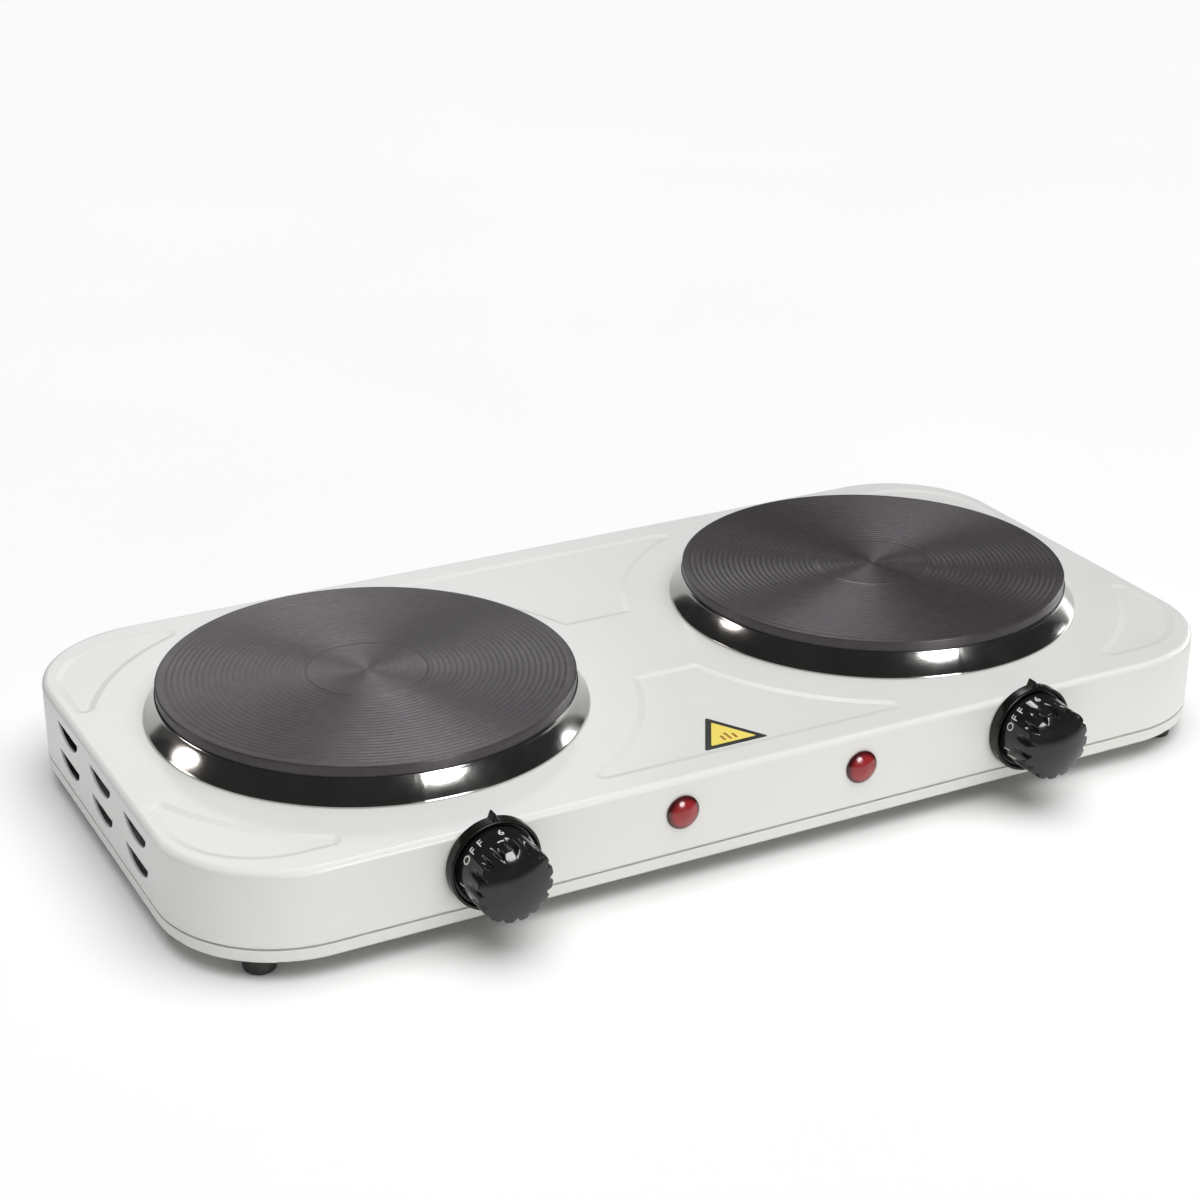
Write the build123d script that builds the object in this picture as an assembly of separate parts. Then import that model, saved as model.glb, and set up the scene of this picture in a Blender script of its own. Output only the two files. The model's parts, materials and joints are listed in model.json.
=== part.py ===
from build123d import *
import os
from math import asin, cos, sin

# Free-standing double electric hot plate, in millimetres.  +X is to the right, +Y to the back, +Z up.
# The origin is on the worktop, under the centre of the whole appliance's box.

# ---- body -------------------------------------------------------------------------------------
BODY_W = 480.0                       # width of the pressed body
BODY_D = 240.0                       # depth of the pressed body
BODY_R = 51.0                        # radius of the four upright corners
SKIRT_H = 38.5                       # from the tray's underside to the top face
SHEET = 1.0                          # sheet steel of the shell and the tray
TOP_BEND = 2.6                       # outer bend radius between the top face and the skirt
TRAY_BEND = 1.8                      # outer bend radius along the tray's lower edge
FOOT_H = 8.0                         # the feet lift the tray this far off the worktop
SEAM_H = 5.6                         # the joint line's height above the tray's underside
SEAM_GAP = 1.1                       # width of the joint line
JOGGLE = 0.1                         # clearance between the tray's inner flange and the shell
FLANGE_TOP = 10.0                    # the inner flange's top, above the tray's underside
OVERLAP = 0.5                        # how far one primitive runs into the next when they are joined

# ---- controls ---------------------------------------------------------------------------------
CONTROL_X = 124.6                    # knob axes, left and right of the middle
CONTROL_H = 23.8                     # knob and lamp axes above the tray's underside
LAMP_X = 41.7                        # indicator lamps, left and right of the middle
BEZEL_R = 19.0                       # fixed dial bezel
BEZEL_T = 5.0
BEZEL_FLOOR = 3.4                    # thickness of the bezel under the knob
BEZEL_RIM = 1.4
NIB_REACH = 21.8                     # radius at the tip of the pointer
NIB_HALF_W = 1.7
KNOB_BACK = 4.2                      # distance from the wall to the back of the knob
KNOB_FACE = 21.6                     # distance from the wall to the face's edge
KNOB_REACH = 25.0                    # distance from the wall to the middle of the domed face
KNOB_BASE_R = 16.4
KNOB_WAIST_R = 15.6
KNOB_FACE_R = 16.0
FLUTES = 16
FLUTE_R = 1.6
FLUTE_VALLEY_R = 14.3                # radius at the bottom of a flute, at the face
FLUTE_TILT = 12.0
SHAFT_R = 3.0
SHAFT_FLAT = 0.9                     # depth of the flat that makes the shaft D-shaped
RUNNING = 0.05                       # radial clearance of a turning shaft
LEFT_TURN = 0.0                      # knob flutes at rest, turned from the dial's index line
RIGHT_TURN = 7.0

# ---- hot plates -------------------------------------------------------------------------------
PLATE_X = 124.4                      # plate centres, left and right of the middle
PLATE_Y_OFFSET = -1.4                # plate centres from the body's middle
PLATE_R = 86.5
PLATE_TOP_H = 53.6                   # cooking surface above the tray's underside
PLATE_T = 13.0                       # height of the casting
SLAB_T = 6.0                         # iron left above the heater recess
RING_R = 92.2                        # outer edge of the polished trim ring
RING_TOP_DROP = 4.6                  # from the cooking surface to the ring's upper edge
HOLE_R = 88.0                        # opening in the body's top
RAISED_R = 25.0                      # raised round in the middle of the cooking surface
RAISED_H = 0.3
DIMPLE_R = 2.6
STUD_R = 3.0

# ---- pressed pockets in the top face ----------------------------------------------------------
POCKET_X = 235.0                     # outer limit of the corner pockets
POCKET_Y = 107.0                     # front and back limit of all pockets
POCKET_CORNER = 40.0
POCKET_RING_R = 112.0                # the pockets stop short of each plate at this radius
POCKET_DEPTH = 0.6
POCKET_SLOPE = 3.0                   # width of the sloping wall around a pocket
POCKET_ROUND = 4.5
CORNER_POCKET_FROM = 42.0            # corner pockets start this far from the middle line
CENTRE_POCKET_FROM = 30.0            # the two middle pockets start nearer to it

# ---- vents ------------------------------------------------------------------------------------
VENT_CHORD = 27.0                    # D-shaped vent: straight upper edge
VENT_SAG = 6.8                       # and the depth of its curved lower edge
VENT_PITCH = 44.0
VENT_Y_OFFSET = -3.4
VENT_ROWS = (32.2, 19.2)             # heights of the straight edges above the tray's underside

# ---- mains entry and feet ---------------------------------------------------------------------
GLAND_REACH = 11.0
GLAND_BORE_R = 3.75                  # for a round mains lead of about 7 mm
GLAND_H = 18.0                       # gland's axis above the tray's underside
FOOT_X = 212.0
FOOT_Y = 102.0
FOOT_R = 6.5

GLAND_NECK_R = 5.8
GLAND_LIP = 2.4                      # the gland's outer lip beyond its neck
GLAND_COLLAR = 1.6                   # the gland's inner collar beyond its neck
GLAND_INSIDE = 6.0                   # how far the gland reaches inside the wall
CLAMP_W = 26.0
CLAMP_FROM = 12.0                    # cord clamp, from this far inside the back wall
CLAMP_T = 10.0
MAINS_W = 36.0                       # mains terminal block
MAINS_FROM = 34.0
MAINS_T = 16.0
MAINS_H = 9.0
MAINS_WAYS = (-12.0, 0.0, 12.0)
MAINS_SCREW_R = 2.5
EARTH_X = 34.0
EARTH_FROM = 34.0                    # earth screw, from the back wall
EARTH_R = 1.9

# ---- fixings ----------------------------------------------------------------------------------
DRIVEN_SLACK = 0.05                  # radial clearance of a shank where its thread would be
HOLE_SLACK = 0.1                     # radial clearance of a shank in a plain hole
BASE_SCREW_R = 1.9
BASE_SCREW_X = 78.0
BASE_HEAD_R = 3.6
BASE_HEAD_T = 2.2
BRACKET_IN = 14.0                    # base screws, from the shell's outer wall
BRACKET_W = 16.0
BRACKET_T = 1.5
BRACKET_DROP = 5.0                   # the bracket's upright, outward from the base screw
BRACKET_WELD = 14.0                  # height of the leg that is welded to the shell
BRACKET_TOE = 10.0
FOOT_SCREW_R = 1.9
FOOT_HEAD_R = 3.4
FOOT_HEAD_T = 1.8
FOOT_HEAD_Z = 1.2
FOOT_BORE_R = 3.7                    # counterbore for the screw's head
SCREW_GRIP = 5.0                     # how far a screw stands out above what it holds
NUT_ACROSS = 7.0
NUT_T = 3.0
LUG_R = 4.0
TRAY_SLOTS = 7                       # cooling slots in the tray below each plate
TRAY_SLOT_L = 60.0
TRAY_SLOT_W = 4.0
TRAY_SLOT_PITCH = 14.0

# ---- heater -----------------------------------------------------------------------------------
RECESS_IN = 26.0                     # heater recess in the casting's underside
RECESS_OUT = 78.0
RECESS_SLACK = 0.1
COIL_RINGS = (38.0, 52.0, 66.0)
COIL_R = 2.0
COIL_SLACK = 0.1
RING_FLANGE_R = 82.0                 # inner edge of the trim ring's bearing flange
STUD_DEEP = 6.5                      # the stud's length inside the casting
STUD_BELOW = 7.0                     # and below the heat shield
STUD_NUT_ACROSS = 10.0
STUD_NUT_T = 5.0
BAR_LAP = 14.0                       # the clamping bar reaches this far past the opening
BAR_FLAT = 62.0                      # half length of the bar's lowered middle
SHIELD_LIP = 1.5
TERMINAL_W = 34.0
TERMINAL_T = 16.0
TERMINAL_X = 9.0                     # posts, left and right of the block's middle
POST_R = 2.2
POST_L = 4.0
WINDOW_X = 21.0                      # half size of the shield's window for the terminals
WINDOW_Y = 12.0

# ---- thermostat and lamps, measured outward from the front wall -----------------------------------
BUSH_R = 4.8
WALL_INSIDE = -SHEET
THERMOSTAT_W = 36.0                  # mounting plate
THERMOSTAT_PLATE_H = 20.0
THERMOSTAT_PLATE_T = 1.5
CASE_W = 26.0                        # moulded case
CASE_H = 25.0
CASE_DEPTH = 24.0
SHAFT_END = -12.0
SHAFT_TIP = 16.0
TAB_X = 7.0
TAB_DROP = 8.0                       # tabs, below the shaft's axis
TAB_W = 6.0
TAB_T = 0.8
TAB_L = 7.0
BEZEL_SCREW_X = 11.0
BEZEL_SCREW_R = 1.45
BEZEL_HEAD_R = 2.6
BEZEL_HEAD_T = 1.8
BEZEL_SCREW_END = -8.0
LENS_R = 7.15
LENS_EDGE = 0.9                      # height of the lens's upright edge
LENS_REACH = 3.3
LENS_STEM_R = 5.5
LENS_STEM_END = -9.0
LAMP_R = 4.6
LAMP_END = -24.0
LAMP_PIN_R = 0.8
LAMP_PIN_X = 2.0
LAMP_PIN_END = -28.0

# ---- sticker and wiring -----------------------------------------------------------------------
LABEL_SIDE = 29.6
LABEL_X = -7.0
LABEL_Y_OFFSET = -94.2
LABEL_T = 0.2
LABEL_ROUND = 0.7
WIRE_R = 1.3
WIRE_BEND = 6.0
SHORT_BEND = 4.0
EARTH_WIRE_OUT = 10.0                # the earth wire passes this far behind its screw

# ---- derived places ---------------------------------------------------------------------------
BODY_Y = (KNOB_REACH - GLAND_REACH) / 2     # puts the origin under the middle of the whole box
FRONT_Y = BODY_Y - BODY_D / 2
BACK_Y = BODY_Y + BODY_D / 2
TRAY_Z = FOOT_H
TOP_Z = TRAY_Z + SKIRT_H
FLOOR_Z = TRAY_Z + SHEET
CONTROL_Z = TRAY_Z + CONTROL_H
PLATE_Y = BODY_Y + PLATE_Y_OFFSET
PLATE_TOP = TRAY_Z + PLATE_TOP_H
PLATE_BOTTOM = PLATE_TOP - PLATE_T
CEILING_Z = TOP_Z - SHEET
COVER_T = 0.8
COVER_Z = PLATE_BOTTOM - COVER_T
SHIELD_Z = 30.0                      # underside of the heat shield
SHIELD_T = 1.0
SHIELD_R = 75.0
BAR_Z = SHIELD_Z + SHIELD_T          # underside of the clamping bar's middle
BAR_T = 1.5
BAR_W = 24.0
TERMINAL_Y = 34.0                    # heater terminals, behind the plate's centre
TERMINAL_H = 11.0
POST_Z = COVER_Z - TERMINAL_H - POST_L      # lower end of the heater posts
EARTH_Y = BACK_Y - EARTH_FROM
MAINS_FRONT = BACK_Y - MAINS_FROM - MAINS_T
WIRE_Z = FLOOR_Z + 5.0               # supply wires lie this high
TAB_BACK = FRONT_Y - WALL_INSIDE + CASE_DEPTH + TAB_L
TAB_Z = CONTROL_Z - TAB_DROP
SIDES = (("left", -1), ("right", 1))


# ---- helpers ----------------------------------------------------------------------------------
def body_slab(inset, low, high):
    """A slab that follows the body's outline, set in by a distance."""
    outline = RectangleRounded(BODY_W - 2 * inset, BODY_D - 2 * inset, BODY_R - inset)
    return Pos(0, BODY_Y, low) * extrude(outline, high - low)


def turned(*points):
    """A solid of revolution about Z from (radius, height) points."""
    return revolve(Plane.XZ * make_face(Polyline(*points, close=True)), Axis.Z)


def tube(outer, inner, low, high):
    """A round tube about Z between two heights."""
    return turned((inner, low), (outer, low), (outer, high), (inner, high))


def rod(radius, low, high):
    """A round rod about Z between two heights."""
    return Pos(0, 0, (low + high) / 2) * Cylinder(radius, high - low)


def block(x, y, z):
    """A block from three (low, high) pairs."""
    size = (x[1] - x[0], y[1] - y[0], z[1] - z[0])
    return Pos((x[0] + x[1]) / 2, (y[0] + y[1]) / 2, (z[0] + z[1]) / 2) * Box(*size)


def on_front(x, part):
    """Puts a part built about Z, with +Z outward, on the front wall at the height of the controls."""
    return Pos(x, FRONT_Y, CONTROL_Z) * Rot(90, 0, 0) * part


def on_back(part):
    """Puts a part built about Z, with +Z outward, on the back wall at the gland's height."""
    return Pos(0, BACK_Y, TRAY_Z + GLAND_H) * Rot(-90, 0, 0) * part


def on_plate(side, part):
    """Puts a part built about Z at a plate's centre."""
    return Pos(side * PLATE_X, PLATE_Y, 0) * part


def together(parts):
    """Several separate solids as one node."""
    return Compound([solid for part in parts for solid in part.solids()])


def dome(edge_r, edge_z, top_z):
    """An arc from (edge_r, edge_z) to the axis whose centre is on the axis."""
    rise = top_z - edge_z
    radius = (edge_r ** 2 + rise ** 2) / (2 * rise)
    half = asin(edge_r / radius) / 2
    middle = (radius * sin(half), top_z - radius * (1 - cos(half)))
    return ThreePointArc((edge_r, edge_z), middle, (0, top_z))


def wire(radius, bend, *points):
    """An insulated wire along straight runs joined by tangent arcs."""
    path = FilletPolyline(*points, radius=bend)
    return sweep(Plane(path @ 0, z_dir=path % 0) * Circle(radius), path=path)


# ---- body -------------------------------------------------------------------------------------
def pocket_faces(spread=0.0):
    """Outlines of the six shallow pockets, optionally spread outward by a distance."""
    field = RectangleRounded(2 * POCKET_X, 2 * POCKET_Y, POCKET_CORNER)
    for side in (-1, 1):
        field -= Pos(side * PLATE_X, PLATE_Y_OFFSET) * Circle(POCKET_RING_R)
        field -= Pos(side * 1.5 * PLATE_X, 0) * Rectangle(PLATE_X, 2 * CORNER_POCKET_FROM)
    field -= Rectangle(PLATE_X, 2 * CENTRE_POCKET_FROM)
    field = offset(offset(field, -POCKET_ROUND), POCKET_ROUND)
    return Pos(0, BODY_Y) * (offset(field, spread) if spread else field)


def pocket_cutter():
    """The six pockets as solids from their floor upward, with sloping lower walls."""
    cutter = extrude(pocket_faces(), POCKET_DEPTH + 1)
    rims = cutter.edges().group_by(Axis.Z)[0]
    return chamfer(rims, POCKET_DEPTH * 0.9, POCKET_SLOPE)


def vent_cutter():
    """One D-shaped cutter across X: straight edge up, half an ellipse down."""
    half = VENT_CHORD / 2
    outline = Ellipse(half, VENT_SAG) - Pos(0, half) * Rectangle(3 * half, 2 * half)
    return Pos(-5, 0, 0) * extrude(Plane.YZ * outline, 10)


def body_shell():
    """Pressed upper shell with its openings, pockets and side vents."""
    seam = TRAY_Z + SEAM_H + SEAM_GAP
    outer = body_slab(0, seam, TOP_Z)
    outer = fillet(outer.edges().group_by(Axis.Z)[-1], TOP_BEND)
    inner = body_slab(SHEET, seam, CEILING_Z)
    inner = fillet(inner.edges().group_by(Axis.Z)[-1], TOP_BEND - SHEET)
    shell = outer - inner
    shell += Pos(0, 0, CEILING_Z - POCKET_DEPTH) * extrude(pocket_faces(SHEET), POCKET_DEPTH + SHEET / 2)
    shell -= Pos(0, 0, TOP_Z - POCKET_DEPTH) * pocket_cutter()
    for _, side in SIDES:
        shell -= on_plate(side, rod(HOLE_R, CEILING_Z - 5, TOP_Z + 5))
        shell -= on_front(side * CONTROL_X, rod(BUSH_R + HOLE_SLACK, -5, 5))
        shell -= on_front(side * LAMP_X, rod(LENS_STEM_R + HOLE_SLACK, -5, 5))
        for hole in (-1, 1):
            x = side * CONTROL_X + hole * BEZEL_SCREW_X
            shell -= on_front(x, rod(BEZEL_SCREW_R + HOLE_SLACK, -5, 5))
        for row in VENT_ROWS:
            for column in (-1, 0, 1):
                y = BODY_Y + VENT_Y_OFFSET + column * VENT_PITCH
                shell -= Pos(side * BODY_W / 2, y, TRAY_Z + row) * vent_cutter()
    return shell - on_back(rod(GLAND_NECK_R, -5, 5))


def base_tray():
    """Lower tray: floor, outer band flush with the shell, and an inner flange behind it."""
    band_top = TRAY_Z + SEAM_H
    step = SHEET + JOGGLE
    tray = body_slab(0, TRAY_Z, band_top)
    tray = fillet(tray.edges().group_by(Axis.Z)[0], TRAY_BEND)
    tray -= body_slab(SHEET, FLOOR_Z, band_top - SHEET)
    tray -= body_slab(step + SHEET, FLOOR_Z, band_top + 1)
    flange = body_slab(step, band_top - SHEET, TRAY_Z + FLANGE_TOP)
    tray += flange - body_slab(step + SHEET, band_top - 2 * SHEET, TRAY_Z + FLANGE_TOP + 1)
    slot = extrude(SlotOverall(TRAY_SLOT_L, TRAY_SLOT_W), 6)
    for _, side in SIDES:
        for row in range(TRAY_SLOTS):
            y = PLATE_Y + (row - (TRAY_SLOTS - 1) / 2) * TRAY_SLOT_PITCH
            tray -= Pos(side * PLATE_X, y, TRAY_Z - 2) * slot
    for x, y in foot_places():
        tray -= Pos(x, y, 0) * rod(FOOT_SCREW_R + HOLE_SLACK, 0, 20)
    for x, y in base_screw_places():
        tray -= Pos(x, y, 0) * rod(BASE_SCREW_R + HOLE_SLACK, 0, 20)
    return tray - Pos(EARTH_X, EARTH_Y, 0) * rod(EARTH_R + HOLE_SLACK, 0, 20)


# ---- fixings ----------------------------------------------------------------------------------
def foot_places():
    """Centres of the four feet."""
    return [(i * FOOT_X, BODY_Y + j * FOOT_Y) for i in (-1, 1) for j in (-1, 1)]


def base_screw_places():
    """Centres of the four screws that hold the tray to the shell's brackets."""
    reach = BODY_D / 2 - BRACKET_IN
    return [(i * BASE_SCREW_X, BODY_Y + j * reach) for i in (-1, 1) for j in (-1, 1)]


def pan_screw(radius, head_r, head_low, head_t, tip):
    """A screw driven upward: domed head with a cross recess, and a plain shank."""
    head = turned((0, head_low + head_t), (head_r, head_low + head_t), (head_r, head_low + head_t / 2),
                  (head_r * 0.7, head_low), (0, head_low))
    for turn in (0, 90):
        head -= Rot(0, 0, turn) * Pos(0, 0, head_low) * Box(head_r * 1.3, head_r * 0.25, head_t * 0.9)
    return head + rod(radius, head_low + head_t - OVERLAP, tip)


def hex_nut(across, bore, low, high):
    """A hexagon nut about Z."""
    nut = extrude(Pos(0, 0, low) * RegularPolygon(across / 2, 6, major_radius=False), high - low)
    return nut - rod(bore, low - 1, high + 1)


def feet():
    """Four rubber feet with a counterbore for the screw's head."""
    foot = turned((0, 0), (FOOT_R - 1.2, 0), (FOOT_R - 0.3, 0.5), (FOOT_R, 1.5), (FOOT_R, FOOT_H),
                  (0, FOOT_H))
    foot -= rod(FOOT_BORE_R, -1, FOOT_HEAD_Z + FOOT_HEAD_T)
    foot -= rod(FOOT_SCREW_R + HOLE_SLACK, 1, FOOT_H + 1)
    return together([Pos(x, y, 0) * foot for x, y in foot_places()])


def foot_screws():
    """Four screws, their heads inside the feet."""
    screw = pan_screw(FOOT_SCREW_R, FOOT_HEAD_R, FOOT_HEAD_Z, FOOT_HEAD_T, FLOOR_Z + SCREW_GRIP)
    return together([Pos(x, y, 0) * screw for x, y in foot_places()])


def foot_nuts():
    """Four nuts on the tray's floor."""
    nut = hex_nut(NUT_ACROSS, FOOT_SCREW_R + DRIVEN_SLACK, FLOOR_Z, FLOOR_Z + NUT_T)
    return together([Pos(x, y, 0) * nut for x, y in foot_places()])


def base_screws():
    """Four screws from below, through the tray's floor into the brackets."""
    tip = FLOOR_Z + BRACKET_T + SCREW_GRIP
    screw = pan_screw(BASE_SCREW_R, BASE_HEAD_R, TRAY_Z - BASE_HEAD_T, BASE_HEAD_T, tip)
    return together([Pos(x, y, 0) * screw for x, y in base_screw_places()])


def shell_brackets():
    """Four folded brackets welded inside the shell's front and back walls."""
    wall = BODY_D / 2 - SHEET
    screw_line = BODY_D / 2 - BRACKET_IN
    drop = screw_line + BRACKET_DROP
    ledge_z = TRAY_Z + FLANGE_TOP + BRACKET_T
    across = (-BRACKET_W / 2, BRACKET_W / 2)
    ledge = block(across, (drop, wall), (ledge_z, ledge_z + BRACKET_T))
    weld_leg = block(across, (wall - BRACKET_T, wall), (ledge_z, ledge_z + BRACKET_WELD))
    drop_leg = block(across, (drop, drop + BRACKET_T), (FLOOR_Z, ledge_z + BRACKET_T))
    toe = block(across, (drop - BRACKET_TOE, drop + BRACKET_T), (FLOOR_Z, FLOOR_Z + BRACKET_T))
    bracket = ledge + weld_leg + drop_leg + toe
    bracket -= Pos(0, screw_line, 0) * rod(BASE_SCREW_R + DRIVEN_SLACK, 0, 20)
    brackets = []
    for x, y in base_screw_places():
        turn = 0 if y > BODY_Y else 180
        brackets.append(Pos(x, BODY_Y, 0) * Rot(0, 0, turn) * bracket)
    return together(brackets)


# ---- hot plates -------------------------------------------------------------------------------
def hot_plate():
    """Cast-iron plate: slab, rim, middle boss and the heater recess underneath."""
    recess = PLATE_TOP - SLAB_T
    plate = turned((0, PLATE_BOTTOM), (RECESS_IN, PLATE_BOTTOM), (RECESS_IN, recess), (RECESS_OUT, recess),
                   (RECESS_OUT, PLATE_BOTTOM), (PLATE_R, PLATE_BOTTOM), (PLATE_R, PLATE_TOP - 1.0),
                   (PLATE_R - 1.0, PLATE_TOP), (RAISED_R + 0.6, PLATE_TOP), (RAISED_R, PLATE_TOP + RAISED_H),
                   (DIMPLE_R, PLATE_TOP + RAISED_H), (0, PLATE_TOP - 0.8))
    return plate - rod(STUD_R + DRIVEN_SLACK, PLATE_BOTTOM - 1, PLATE_BOTTOM + STUD_DEEP + 0.5)


def trim_ring():
    """Polished ring: a bearing flange under the plate, and a flared skirt down to the body's top."""
    upper = PLATE_TOP - RING_TOP_DROP
    wall = PLATE_R + 0.1
    outline = [
        Line((wall, upper), (wall + 1.0, upper)),
        ThreePointArc((wall + 1.0, upper), (wall + 3.0, TOP_Z + 5.2), (RING_R, TOP_Z + 0.7)),
        Line((RING_R, TOP_Z + 0.7), (RING_R, TOP_Z)),
        Line((RING_R, TOP_Z), (RING_R - 1.2, TOP_Z)),
        ThreePointArc((RING_R - 1.2, TOP_Z), (wall + 2.6, TOP_Z + 1.0), (wall + 1.0, COVER_Z)),
        Line((wall + 1.0, COVER_Z), (RING_FLANGE_R, COVER_Z)),
        Line((RING_FLANGE_R, COVER_Z), (RING_FLANGE_R, PLATE_BOTTOM)),
        Line((RING_FLANGE_R, PLATE_BOTTOM), (wall, PLATE_BOTTOM)),
        Line((wall, PLATE_BOTTOM), (wall, upper)),
    ]
    return revolve(Plane.XZ * make_face(outline), Axis.Z)


def heater_ceramic():
    """Embedding for the coils, with an open groove for each ring of coil."""
    top = PLATE_TOP - SLAB_T
    pad = tube(RECESS_OUT - RECESS_SLACK, RECESS_IN + RECESS_SLACK, PLATE_BOTTOM, top)
    for ring in COIL_RINGS:
        reach = COIL_R + COIL_SLACK
        pad -= tube(ring + reach, ring - reach, top - 2 * reach, top + 1)
    return pad


def heater_coils():
    """Three rings of heating coil in the grooves, each as its outer tube shape."""
    z = PLATE_TOP - SLAB_T - COIL_R - COIL_SLACK
    return together([Pos(0, 0, z) * Torus(ring, COIL_R) for ring in COIL_RINGS])


def heater_cover():
    """Sheet disc that closes the heater recess."""
    return tube(RING_FLANGE_R - 1.0, STUD_R + HOLE_SLACK, COVER_Z, PLATE_BOTTOM)


def centre_stud():
    """Stud screwed into the casting's boss, through the bar and the shield."""
    return rod(STUD_R, SHIELD_Z - STUD_BELOW, PLATE_BOTTOM + STUD_DEEP)


def stud_nut():
    """Nut that pulls the plate down against the bar."""
    return hex_nut(STUD_NUT_ACROSS, STUD_R + DRIVEN_SLACK, SHIELD_Z - STUD_NUT_T, SHIELD_Z)


def clamping_bar():
    """Folded bar that bears on the underside of the body's top, across the opening."""
    end = HOLE_R + BAR_LAP
    tab = HOLE_R + 1
    low = [(-end, CEILING_Z - BAR_T), (-tab, CEILING_Z - BAR_T), (-BAR_FLAT, BAR_Z),
           (BAR_FLAT, BAR_Z), (tab, CEILING_Z - BAR_T), (end, CEILING_Z - BAR_T)]
    high = [(x, z + BAR_T) for x, z in reversed(low)]
    bar = extrude(Plane.XZ * make_face(Polyline(*low, *high, close=True)), BAR_W / 2, both=True)
    return bar - rod(STUD_R + HOLE_SLACK, SHIELD_Z, CEILING_Z)


def heat_shield():
    """Shallow dish below the heater, with a window for the heater's terminals."""
    lip = BAR_Z + SHIELD_LIP
    inner = SHIELD_R - SHIELD_T
    dish = turned((0, SHIELD_Z), (SHIELD_R, SHIELD_Z), (SHIELD_R, lip), (inner, lip), (inner, BAR_Z),
                  (0, BAR_Z))
    dish -= rod(STUD_R + HOLE_SLACK, SHIELD_Z - 1, BAR_Z + 1)
    window_y = (TERMINAL_Y - WINDOW_Y, TERMINAL_Y + WINDOW_Y)
    return dish - block((-WINDOW_X, WINDOW_X), window_y, (SHIELD_Z - 1, BAR_Z + 1))


def heater_terminal_block():
    """Ceramic block under the heater cover."""
    depth = (TERMINAL_Y - TERMINAL_T / 2, TERMINAL_Y + TERMINAL_T / 2)
    ceramic = block((-TERMINAL_W / 2, TERMINAL_W / 2), depth, (COVER_Z - TERMINAL_H, COVER_Z))
    return fillet(ceramic.edges().filter_by(Axis.Z), 2)


def heater_terminals():
    """Two brass posts below each ceramic block."""
    post = rod(POST_R, POST_Z, POST_Z + POST_L)
    posts = []
    for _, side in SIDES:
        for x in (-TERMINAL_X, TERMINAL_X):
            posts.append(on_plate(side, Pos(x, TERMINAL_Y, 0) * post))
    return together(posts)


# ---- controls ---------------------------------------------------------------------------------
def d_section(radius, flat):
    """A round section with one flat."""
    return Circle(radius) - Pos(0, radius - flat + radius) * Rectangle(4 * radius, 2 * radius)


def thermostat():
    """Thermostat: mounting plate and threaded bush on a moulded case with a blind bore."""
    seat = WALL_INSIDE - THERMOSTAT_PLATE_T
    plate = block((-THERMOSTAT_W / 2, THERMOSTAT_W / 2), (-THERMOSTAT_PLATE_H / 2, THERMOSTAT_PLATE_H / 2),
                  (seat, WALL_INSIDE))
    case = block((-CASE_W / 2, CASE_W / 2), (-CASE_H / 2, CASE_H / 2), (WALL_INSIDE - CASE_DEPTH, seat))
    body = plate + case + rod(BUSH_R, WALL_INSIDE - OVERLAP, BEZEL_FLOOR)
    body -= rod(SHAFT_R + RUNNING, SHAFT_END - RUNNING, BEZEL_FLOOR + 1)
    for hole in (-1, 1):
        body -= Pos(hole * BEZEL_SCREW_X, 0, 0) * rod(BEZEL_SCREW_R + DRIVEN_SLACK, BEZEL_SCREW_END - 1, 1)
    return body


def thermostat_shaft():
    """D-shaped shaft from inside the thermostat to inside the knob."""
    round_part = rod(SHAFT_R, SHAFT_END, BEZEL_FLOOR + 0.4)
    tip = extrude(Pos(0, 0, BEZEL_FLOOR) * d_section(SHAFT_R, SHAFT_FLAT), SHAFT_TIP - BEZEL_FLOOR)
    return round_part + tip


def thermostat_tabs():
    """Two brass tabs at the back of each thermostat."""
    back = WALL_INSIDE - CASE_DEPTH
    height = (-TAB_DROP - TAB_T / 2, -TAB_DROP + TAB_T / 2)
    tab = block((-TAB_W / 2, TAB_W / 2), height, (back - TAB_L, back))
    tabs = []
    for _, side in SIDES:
        for x in (-TAB_X, TAB_X):
            tabs.append(on_front(side * CONTROL_X + x, tab))
    return together(tabs)


def dial_bezel():
    """Fixed black dish behind the knob, with a raised rim and a pointer at the top."""
    bore = BUSH_R + HOLE_SLACK
    dish = BEZEL_R - BEZEL_RIM
    bezel = turned((bore, 0), (BEZEL_R, 0), (BEZEL_R, BEZEL_T - 0.5), (BEZEL_R - 0.5, BEZEL_T),
                   (dish, BEZEL_T), (dish, BEZEL_FLOOR), (bore, BEZEL_FLOOR))
    nib = make_face(Polyline((-NIB_HALF_W, BEZEL_R - 0.6), (NIB_HALF_W, BEZEL_R - 0.6), (0, NIB_REACH),
                             close=True))
    bezel += extrude(nib, BEZEL_T - 0.4)
    for hole in (-1, 1):
        place = Pos(hole * BEZEL_SCREW_X, 0, 0)
        bezel -= place * rod(BEZEL_SCREW_R + HOLE_SLACK, -1, BEZEL_T)
        bezel -= place * rod(BEZEL_HEAD_R + HOLE_SLACK, BEZEL_FLOOR - BEZEL_HEAD_T, BEZEL_T)
    return bezel


def bezel_screws():
    """Two screws through each bezel and the wall into the thermostat's plate."""
    under_head = BEZEL_FLOOR - BEZEL_HEAD_T
    screw = rod(BEZEL_HEAD_R, under_head, BEZEL_FLOOR)
    screw += rod(BEZEL_SCREW_R, BEZEL_SCREW_END, under_head + OVERLAP)
    for turn in (0, 90):
        screw -= Pos(0, 0, BEZEL_FLOOR) * Rot(0, 0, turn) * Box(3.4, 0.7, 1.6)
    places = [side * CONTROL_X + hole * BEZEL_SCREW_X for _, side in SIDES for hole in (-1, 1)]
    return together([on_front(x, screw) for x in places])


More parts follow.
